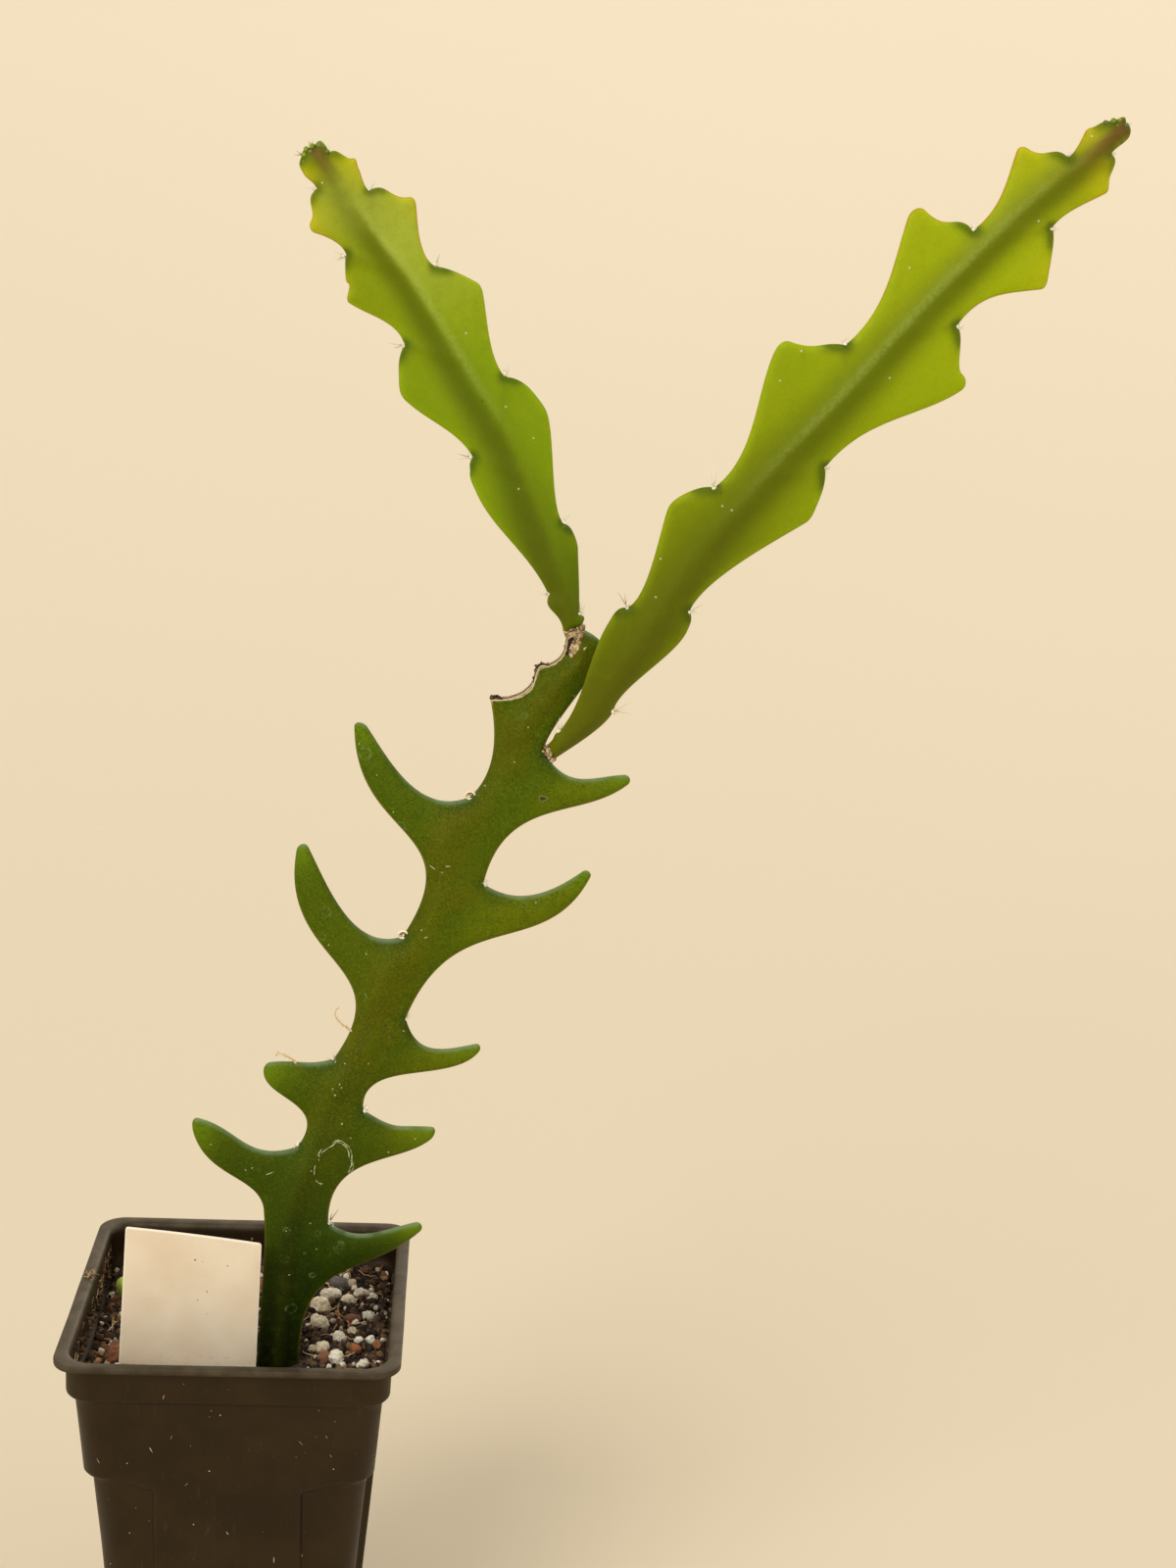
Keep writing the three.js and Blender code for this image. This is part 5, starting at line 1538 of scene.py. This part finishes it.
def make_pot_dust():
    """Specks of perlite dust and short fibres that cling to the outside of the pot."""
    heap = Heap(seed=38)
    rng = heap.rng
    while len(heap.points) < DUST_COUNT:
        out = np.append(WALLS[rng.integers(0, 4)], 0)
        side = np.array([-out[1], out[0], 0])
        start = OUTSIDE_POT * out + rng.uniform(-DUST_ACROSS, DUST_ACROSS) * side
        start = start + [0, 0, DUST_LOW + DUST_SPAN * rng.uniform(0, 1) ** 0.7]
        hit, normal, _, _ = POT_SKIN.ray_cast(Vector(start), Vector(-out))
        if hit is None or normal.z < -0.3 or normal.z > 0.5:
            continue
        place = np.array(hit)
        if rng.uniform() < 0.5:
            size = 0.14 * 3.4 ** rng.uniform(0, 1) ** 1.6
            heap.add(lump(rng, (size, size, size), 0.2, 1), place, rng.uniform(0.1, 1.1))
            continue
        along = unit(0.5 * rng.normal() * side + [0, 0, 1.2])
        path = bowed(place + 0.06 * out, rng.uniform(0.3, 0.9) * along, 0, 4)
        heap.add(tube(path, [0.03, 0.065, 0.065, 0.03], 4), shade=rng.uniform(0.2, 1.0))
    return heap.piece("pot_dust", "pot", "wool")


make_pot_dust()

MIX_LEVEL = 112.7
MIX_SLOPE = 0.5
MIX_BUMP = 0.45
MIX_HALF = 39.5
CRUMBS_HALF = 39.6
FIBRES_HALF = 36
# Half of the straight part of each side, and the inside of the wall
STRAIGHT_HALF = 33
WALL_INSIDE = 40.2
# Where the main stem stands in the mix, half its size there, and the card's left and right edge
STEM_IN_MIX = (11.5, -17)
STEM_IN_MIX_HALF = (5.6, 3.2)
LABEL_IN_MIX = (-32, 7.5)
LABEL_Y = -25
LABEL_HALF = 0.4
LABEL_CORNERS = [(-31.5, 88), (5.3, 88), (7.2, 151.3), (-28.2, 155.2)]
LABEL_CORNER_RADIUS = 0.7
LABEL_EDGE_ROUNDING = 0.16


def mix_top(x, y):
    """Height of the mix before its crumbs are laid on."""
    slope = MIX_SLOPE * (0.4 * x + 0.6 * y) / BODY_HALF_TOP
    bump = np.sin(0.31 * x + 1.3) * np.cos(0.27 * y - 0.4) + 0.6 * np.sin(0.7 * x + 0.5 * y)
    return MIX_LEVEL + slope + MIX_BUMP * bump


def make_mix_bed():
    """The mix as one closed lump: a crumbly top, plain sides and a flat bottom."""
    outline = pot_ring(MIX_HALF, 0)[:, :2]
    points, faces = cover(outline, spread(outline, 1.0, 0.6))
    flat = raised(points)
    crumbs = 0.55 * wander(flat, 3.2, 12) + 0.5 * wander(flat, 1.3, 13)
    top = np.c_[points, mix_top(points[:, 0], points[:, 1]) + crumbs - 0.5]
    heap = Heap()
    heap.add((top, faces), shade=0.25)
    bottom = FLOOR_THICKNESS + 0.2
    levels = []
    for z in (bottom, 10, 30, 50, 70, 82, 85, 87, 88.8, 91, 96, 104, 109.5):
        levels.append(pot_ring(inside_half(z) - 0.25, z, z < STEPPED_BELOW))
    levels.append(top[: len(outline)])
    heap.add((np.vstack(levels), bridge(levels)), shade=0.1)
    low_points, low_faces = covered_ring(levels[0], bottom)
    heap.add((low_points, low_faces[:, ::-1]), shade=0.1)
    return heap.piece("mix_bed", "potting_mix", "peat")


make_mix_bed()


def is_free(x, y, reach):
    """False where a crumb would run into the stem or the label."""
    (stem_x, stem_y), (half_x, half_y) = STEM_IN_MIX, STEM_IN_MIX_HALF
    in_stem = abs(x - stem_x) < half_x + 0.6 * reach and abs(y - stem_y) < half_y + 0.6 * reach
    left, right = LABEL_IN_MIX
    in_label = abs(y - LABEL_Y) < LABEL_HALF + 0.5 + reach and left - reach < x < right + reach
    return not (in_stem or in_label)


def strew(name, paint, seed, count, sizes, flat, rough, shades, rise, at_edge, level=2):
    """Strews lumps of a range of sizes over the mix, a share of them along its edge."""
    heap = Heap(seed)
    rng = heap.rng
    while len(heap.points) < count:
        x, y = rng.uniform(-CRUMBS_HALF, CRUMBS_HALF, 2)
        size = sizes[0] * (sizes[1] / sizes[0]) ** rng.uniform(0, 1)
        if rng.uniform() < at_edge:
            near_wall = rng.choice([-1, 1]) * (WALL_INSIDE - size / 2 - abs(rng.normal()))
            x, y = (near_wall, y) if rng.uniform() < 0.5 else (x, near_wall)
        shape = size * np.array([1.0, rng.uniform(0.6, 1.0), flat * rng.uniform(0.8, 1.2)])
        corner = math.hypot(max(abs(x) - STRAIGHT_HALF, 0), max(abs(y) - STRAIGHT_HALF, 0))
        if corner > CORNER_RADIUS - size / 2 or not is_free(x, y, size / 2):
            continue
        crumb = lump(rng, shape, rough, level)
        z = mix_top(x, y) - 0.4 + rise * size * rng.uniform(0, 1.6)
        heap.add(crumb, [x, y, z], rng.uniform(*shades))
    return heap.piece(name, "potting_mix", paint, False)


strew(
    "mix_peat_crumbs", "peat", seed=31, count=1900, sizes=(0.7, 2.9), flat=0.8, rough=0.24,
    shades=(-0.05, 0.95), rise=0.3, at_edge=0.35,
)
strew(
    "mix_fine_crumbs", "peat", seed=30, count=2600, sizes=(0.5, 1.5), flat=0.8, rough=0.25,
    shades=(0, 1), rise=0.5, at_edge=0.3, level=1,
)
strew(
    "mix_bark_bits", "bark_chips", seed=32, count=260, sizes=(1.0, 3.8), flat=0.4, rough=0.22,
    shades=(0, 1), rise=0.4, at_edge=0.2,
)
strew(
    "mix_mineral_grit", "grit", seed=33, count=560, sizes=(0.6, 2.6), flat=0.85, rough=0.24,
    shades=(0.1, 1.1), rise=0.5, at_edge=0.1,
)

LOOSE_FIBRES = 150
WALL_FIBRES = 60
TANGLE_FIBRES = 30
LEFT_WALL = -41.1
# Lowest and highest place of the fibres on the left wall
WALL_FIBRE_HEIGHTS = (114.2, 122.5)
TANGLE = np.array([-42.6, 7.5, 125.15])
# Where the lip's top ends and its inner side goes down
LIP_INSIDE = -41.6


def make_fibres():
    """Loose fibres on the mix and on the left wall, and a tangle caught on the left lip."""
    heap = Heap(seed=34)
    rng = heap.rng
    while len(heap.points) < LOOSE_FIBRES:
        x, y = rng.uniform(-FIBRES_HALF, FIBRES_HALF, 2)
        if not is_free(x, y, 2.5):
            continue
        angle = rng.uniform(0, FULL_TURN)
        along = np.array([math.cos(angle), math.sin(angle), 0])
        side = np.array([-along[1], along[0], 0])
        path = bowed([x, y, 0], rng.uniform(1.5, 4.5) * along, rng.uniform(-1.5, 1.5) * side, 8)
        path[:, :2] = np.clip(path[:, :2], -FIBRES_HALF - 2, FIBRES_HALF + 2)
        path[:, 2] = mix_top(path[:, 0], path[:, 1]) + 0.7 + 0.5 * rng.uniform(0, 1, 8)
        radii = rng.uniform(0.06, 0.16) * np.r_[0.3, np.ones(6), 0.3]
        heap.add(tube(path, radii, 4), shade=rng.uniform(0.1, 1))
    # Fibres and threads that cling to the inside of the left wall
    for _ in range(WALL_FIBRES):
        across = rng.uniform(-STRAIGHT_HALF, STRAIGHT_HALF)
        foot = np.array([LEFT_WALL, across, COLLAR_BOTTOM + 7 * rng.uniform(0, 1) ** 1.6])
        turn = rng.uniform(0, math.pi)
        path = bowed(foot, rng.uniform(0.8, 2.6) * np.array([0, math.cos(turn), math.sin(turn)]), 0, 6)
        path[:, 0] += 0.25 * rng.uniform(size=6)
        path[:, 2] = np.clip(path[:, 2], *WALL_FIBRE_HEIGHTS)
        radii = rng.uniform(0.07, 0.16) * np.r_[0.3, np.ones(4), 0.3]
        heap.add(tube(path, radii, 4), shade=rng.uniform(-0.6, 0.8))
    # A small tangle of peat fibres on the left lip, hanging down inside
    for _ in range(TANGLE_FIBRES):
        spot = rng.normal(size=3) * [0.8, 1.4, 0.25]
        foot = TANGLE + np.array([max(spot[0], -1.4), spot[1], abs(spot[2])])
        foot[2] -= 1.6 * max(foot[0] - LIP_INSIDE, 0)
        way = unit(rng.normal(size=3) * [0.7, 1.0, 0.25])
        bow = rng.normal(size=3) * [0.3, 0.3, 0.2]
        path = bowed(foot, rng.uniform(0.3, 1.1) * way, bow, 6)
        lowest = np.where(path[:, 0] > LIP_INSIDE, POT_HEIGHT - 5, POT_HEIGHT + 0.05)
        path[:, 2] = np.maximum(path[:, 2], lowest)
        heap.add(tube(path, rng.uniform(0.05, 0.1), 4), shade=rng.uniform(-0.2, 0.7))
    return heap.piece("mix_fibres", "potting_mix", "rootlet")


make_fibres()

# How many crumbs stick to the right, the back, the left and the front wall
WALL_CRUMBS = (70, 40, 150, 30)
WALL_CRUMBS_LOW = 114.3
WALL_CRUMBS_SPAN = 8


def make_wall_dirt():
    """Crumbs on the inside of each wall, most on the left one."""
    heap = Heap(seed=35)
    rng = heap.rng
    for out, count in zip(WALLS, WALL_CRUMBS):
        for _ in range(count):
            across = rng.uniform(-STRAIGHT_HALF, STRAIGHT_HALF)
            height = WALL_CRUMBS_LOW + WALL_CRUMBS_SPAN * rng.uniform(0, 1) ** 2.2
            size = rng.uniform(0.4, 1.5)
            x, y = (COLLAR_HALF - POT_WALL - 0.32 * size) * out + across * np.abs(out[::-1])
            crumb = lump(rng, (size, size, 0.5 * size), 0.2)
            heap.add(crumb, [x, y, height], rng.uniform(0, 1))
    return heap.piece("mix_on_the_wall", "potting_mix", "peat")


make_wall_dirt()


def label_bow(x):
    """How far the card bows out of its plane."""
    return 0.3 * ((x + 12) / 18) ** 2 - 0.15


def label_outline():
    """The card's outline, with softly rounded corners and a bulging top edge."""
    corners = np.array(LABEL_CORNERS, float)
    outline = []
    for i, corner in enumerate(corners):
        before, after = corners[i - 1], corners[(i + 1) % 4]
        leave = corner + LABEL_CORNER_RADIUS * unit(before - corner)
        join = corner + LABEL_CORNER_RADIUS * unit(after - corner)
        first, second = (end * 0.45 + corner * 0.55 for end in (leave, join))
        outline += [leave[None], cubic(leave, first, second, join, 0.25)]
        end = after + LABEL_CORNER_RADIUS * unit(corner - after)
        straight = respaced(np.array([join, end]), 1.2)[1:-1]
        if i == 2:
            share = np.linspace(0, 1, len(straight) + 2)[1:-1]
            straight[:, 1] += 1.4 * share * (1 - share)
        outline.append(straight)
    return np.vstack(outline)


def make_label():
    """Plain card, slightly bowed."""
    outline = label_outline()
    inner = [moved_in(outline, depth) for depth in (0.04, 0.16, 0.5)] + [spread(outline, 1.6, 0.9)]
    points, faces = cover(outline, thinned(np.vstack(inner), outline, 0.035))
    depth = distance_to_run(points, outline, True)
    on_rim = depth < 1e-3
    half = LABEL_HALF * round_edge(depth, LABEL_EDGE_ROUNDING)
    middle = LABEL_Y + label_bow(points[:, 0])
    front, back = (np.c_[points[:, 0], middle + side * half, points[:, 1]] for side in (-1, 1))
    card = two_sides(front, on_rim, back)
    values = {"margin_distance": two_sides(depth, on_rim)}
    return add_piece("label_card", "plant_label", "label_plastic", card, two_sheets(faces, on_rim), values)


make_label()

# Crumbs of dirt that cling to the card: across, height, size
LABEL_DIRT = [
    (-10.1, 146.5, 0.6), (-1.6, 145, 0.4), (-8.2, 146, 0.3),
    (-6.9, 137.4, 0.4), (-9.4, 134.9, 0.35), (-7, 131, 0.3),
]


def make_label_dirt():
    heap = Heap(seed=39)
    for x, z, size in LABEL_DIRT:
        crumb = lump(heap.rng, (size, 0.5 * size, size), 0.2)
        heap.add(crumb, [x, LABEL_Y + label_bow(x) - LABEL_HALF, z], heap.rng.uniform(0.2, 0.6))
    return heap.piece("label_dirt", "plant_label", "peat")


make_label_dirt()

# The larger grains keep the frame's places and get a finer, rougher skin: size and depth of its lumps
GRAIN_LOOKS = {"pumice": (1.1, 0.42), "perlite": (0.9, 0.34), "pebble": (2.4, 0.16), "bark": (1.2, 0.3)}


def make_grain(name, kind, seed):
    size, depth = GRAIN_LOOKS[kind]
    shape = bmesh.new()
    shape.from_mesh(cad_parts[name].data)
    bmesh.ops.remove_doubles(shape, verts=shape.verts, dist=1e-6)
    bmesh.ops.subdivide_edges(shape, edges=shape.edges, cuts=3, use_grid_fill=True)
    bmesh.ops.triangulate(shape, faces=shape.faces)
    every_way = {"use_axis_x": True, "use_axis_y": True, "use_axis_z": True}
    for _ in range(2):
        bmesh.ops.smooth_vert(shape, verts=shape.verts, factor=0.5, **every_way)
    shape.normal_update()
    points = np.array([v.co for v in shape.verts]) / MM
    normals = np.array([v.normal for v in shape.verts])
    faces = np.array([[v.index for v in f.verts] for f in shape.faces])
    shape.free()
    rough = 0.9 * wander(points, 2.2 * size, seed) + 0.4 * wander(points, size, seed + 50)
    if kind == "bark":
        rough += 0.7 * wander(points * [0.4, 1.4, 1.8], size, seed + 90)
    else:
        # Round beads grown together, with creases between them
        beads = np.array([noise.voronoi(Vector(p / size))[0][0] for p in points])
        rough += 1.6 * (0.45 - beads)
    pits = np.minimum(0, wander(points, 0.7 * size, seed + 70) + 0.15)
    points = points + normals * (depth * (rough + 1.6 * pits) + 0.1)[:, None]
    return add_piece(name + "_grain", name, kind, points, faces)


for number, name in enumerate(sorted(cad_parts)):
    kind = name.rsplit("_", 1)[0]
    if kind in GRAIN_LOOKS:
        make_grain(name, kind, number)

ROOT_CROWN = np.array([11, -16, 77.85])
ROOT_CROWN_SIZE = np.array([8.6, 6.2, 5.8])
# Root strands: thickness and course
ROOT_STRANDS = [
    (1.0, [(11.5, -16, 76), (4, -14, 66), (-4, -7, 60), (-9, -9, 48), (-16, -3, 38)]),
    (0.9, [(12, -15, 76), (16, -8, 68), (21, 2, 60), (18, 10, 50), (22, 14, 40)]),
    (0.9, [(11, -16, 76), (11, -20, 64), (6, -24, 52), (10, -22, 40), (5, -17, 28)]),
    (0.8, [(12.5, -16.5, 77), (20, -20, 71), (25, -18, 62), (24, -23, 52)]),
    (0.8, [(11, -15, 77), (5, -7, 72), (3, 4, 66), (-5, 10, 60), (-3, 18, 52)]),
]


def make_roots():
    heap = Heap(seed=36)
    rng = heap.rng
    crown, crown_faces = lump(rng, (1, 1, 1), 0.05, 3)
    crown = crown / np.abs(crown).max(axis=0) * ROOT_CROWN_SIZE / 2
    heap.add((crown, crown_faces), ROOT_CROWN, 0.4)
    for radius, route in ROOT_STRANDS:
        path = through(route, 0.9)
        path[2:-1] += 0.16 * rng.normal(size=path[2:-1].shape)
        taper = radius * np.linspace(1.05, 0.3, len(path)) * (1 + 0.1 * rng.normal(size=len(path)))
        heap.add(tube(path, taper, 8), shade=0.5)
        for _ in range(12):
            at = path[rng.integers(4, len(path))]
            way = unit(rng.normal(size=3) - [0, 0, 0.5])
            add_hair(heap, at, way, rng.uniform(2, 5), 0.14, 0.5, 0.8)
    return heap.piece("roots_strands", "roots", "roots")


make_roots()

SPROUT_FOOT = np.array([-31.5, 16, 106])
SPROUT_TOP = np.array([-35.2, 18, 119.4])
SPROUT_RADIUS = 2.6
# Shares of the radius and of the height
SPROUT_PROFILE = [
    (0, 0), (0.45, 0.01), (0.6, 0.25), (0.85, 0.6), (1, 0.8), (0.88, 0.91), (0.55, 0.975), (0, 1),
]


def make_sprout():
    """Blunt bud with low ribs."""
    axis = SPROUT_TOP - SPROUT_FOOT
    up = unit(axis)
    side = unit(np.cross(up, [0, 1, 0]))
    front = np.cross(side, up)
    angles = np.linspace(0, FULL_TURN, 40, endpoint=False)
    section = circle(40) @ np.array([side, 0.8 * front])
    rings = []
    for share, along in through(SPROUT_PROFILE, 0.05)[1:-1]:
        radius = SPROUT_RADIUS * share * (1 + 0.05 * np.cos(6 * angles + 2 * along))
        rings.append(SPROUT_FOOT + along * axis + radius[:, None] * section)
    return add_piece("sprout_bud", "sprout", "sprout", *closed_rings(rings, SPROUT_FOOT, SPROUT_TOP))


make_sprout()

# A pale floor that runs up into a far round wall, in metres
FLOOR_RINGS = (0.001, 0.3, 0.6, 0.9)
WALL_RADIUS = 3.2
WALL_HEIGHT = 3.4
STAGE_NEAR = colour(216, 203, 178)
STAGE_FAR = colour(228, 216, 192)


def paint_stage():
    """Pale cream, a little lighter far away where less light falls."""
    paint = Paint("stage", Roughness=0.9, Specular_IOR_Level=0.1)
    from_middle = paint.vector("LENGTH", {0: paint.place}, "Value")
    patchy = (paint.noise(400, 3) - 0.5) * 200
    paint.tone = paint.mix((from_middle + patchy).fade(500, 3200), STAGE_NEAR, STAGE_FAR)
    return paint.finish()


def add_ground(name, section, paint):
    """A round surface of the stage, from the radii and heights of its section."""
    rings = [raised(radius * circle(96), z) for radius, z in section]
    ground = add_object(name, paint, np.vstack(rings), [face[::-1] for face in bridge(rings)])
    return ground


def make_stage():
    floor = [(radius, 0.0) for radius in FLOOR_RINGS]
    floor_radius = FLOOR_RINGS[-1]
    bend = WALL_RADIUS - floor_radius
    wall = floor[-1:]
    for angle in np.radians(np.linspace(6, 90, 15)):
        wall.append((floor_radius + bend * math.sin(angle), bend * (1 - math.cos(angle))))
    wall.append((WALL_RADIUS, WALL_HEIGHT))
    paint = paint_stage()
    add_ground("stage_floor", floor, paint)
    backdrop = add_ground("stage_wall", wall, paint)
    # Light passes through the wall, which only closes the view
    backdrop.visible_shadow = False
    backdrop.visible_diffuse = False
    backdrop.visible_transmission = False


make_stage()

WARM = (1.0, 0.93, 0.82)
SOFT = (1.0, 0.96, 0.9)
ROOM = (1.0, 0.94, 0.84, 1)
ROOM_STRENGTH = 0.66


def add_light(name, towards, strength, softness, tint):
    """Soft light from far away that shines towards a direction; softness in degrees."""
    light = bpy.data.lights.new(name, "SUN")
    light.energy = strength
    light.angle = math.radians(softness)
    light.color = tint
    lamp = bpy.data.objects.new(name, light)
    lamp.rotation_euler = Vector(towards).to_track_quat("-Z", "Y").to_euler()
    bpy.context.collection.objects.link(lamp)


add_light("key", towards=(0.55, 0.8, -0.7), strength=1.7, softness=35, tint=SOFT)
add_light("fill", towards=(-0.9, 0.7, -0.35), strength=0.35, softness=50, tint=SOFT)
add_light("back", towards=(-0.25, -1.0, -0.5), strength=1.3, softness=40, tint=WARM)

world = bpy.data.worlds.new("room")
world.use_nodes = True
background = world.node_tree.nodes["Background"]
background.inputs["Color"].default_value = ROOM
background.inputs["Strength"].default_value = ROOM_STRENGTH
bpy.context.scene.world = world
bpy.context.scene.view_settings.view_transform = "Standard"

# Camera: place in metres, angles in radians, focal length and sensor in millimetres
CAMERA_PLACE = (0.05563, -0.59523, 0.42778)
CAMERA_YAW = 0.0551481
CAMERA_PITCH = 0.2549629
CAMERA_ROLL = 0.0478425
LENS = 54.07
SENSOR_WIDTH = 36


def make_camera():
    yaw, pitch, roll = CAMERA_YAW, CAMERA_PITCH, CAMERA_ROLL
    ahead = Vector((math.sin(yaw) * math.cos(pitch), math.cos(yaw) * math.cos(pitch), -math.sin(pitch)))
    level = Vector((math.cos(yaw), -math.sin(yaw), 0))
    above = level.cross(ahead)
    right = math.cos(roll) * level + math.sin(roll) * above
    up = -math.sin(roll) * level + math.cos(roll) * above
    lens = bpy.data.cameras.new("camera")
    lens.sensor_width = SENSOR_WIDTH
    lens.lens = LENS
    camera = bpy.data.objects.new("camera", lens)
    turn = Matrix((right, up, -ahead)).transposed().to_4x4()
    camera.matrix_world = Matrix.Translation(CAMERA_PLACE) @ turn
    bpy.context.collection.objects.link(camera)
    bpy.context.scene.camera = camera


make_camera()
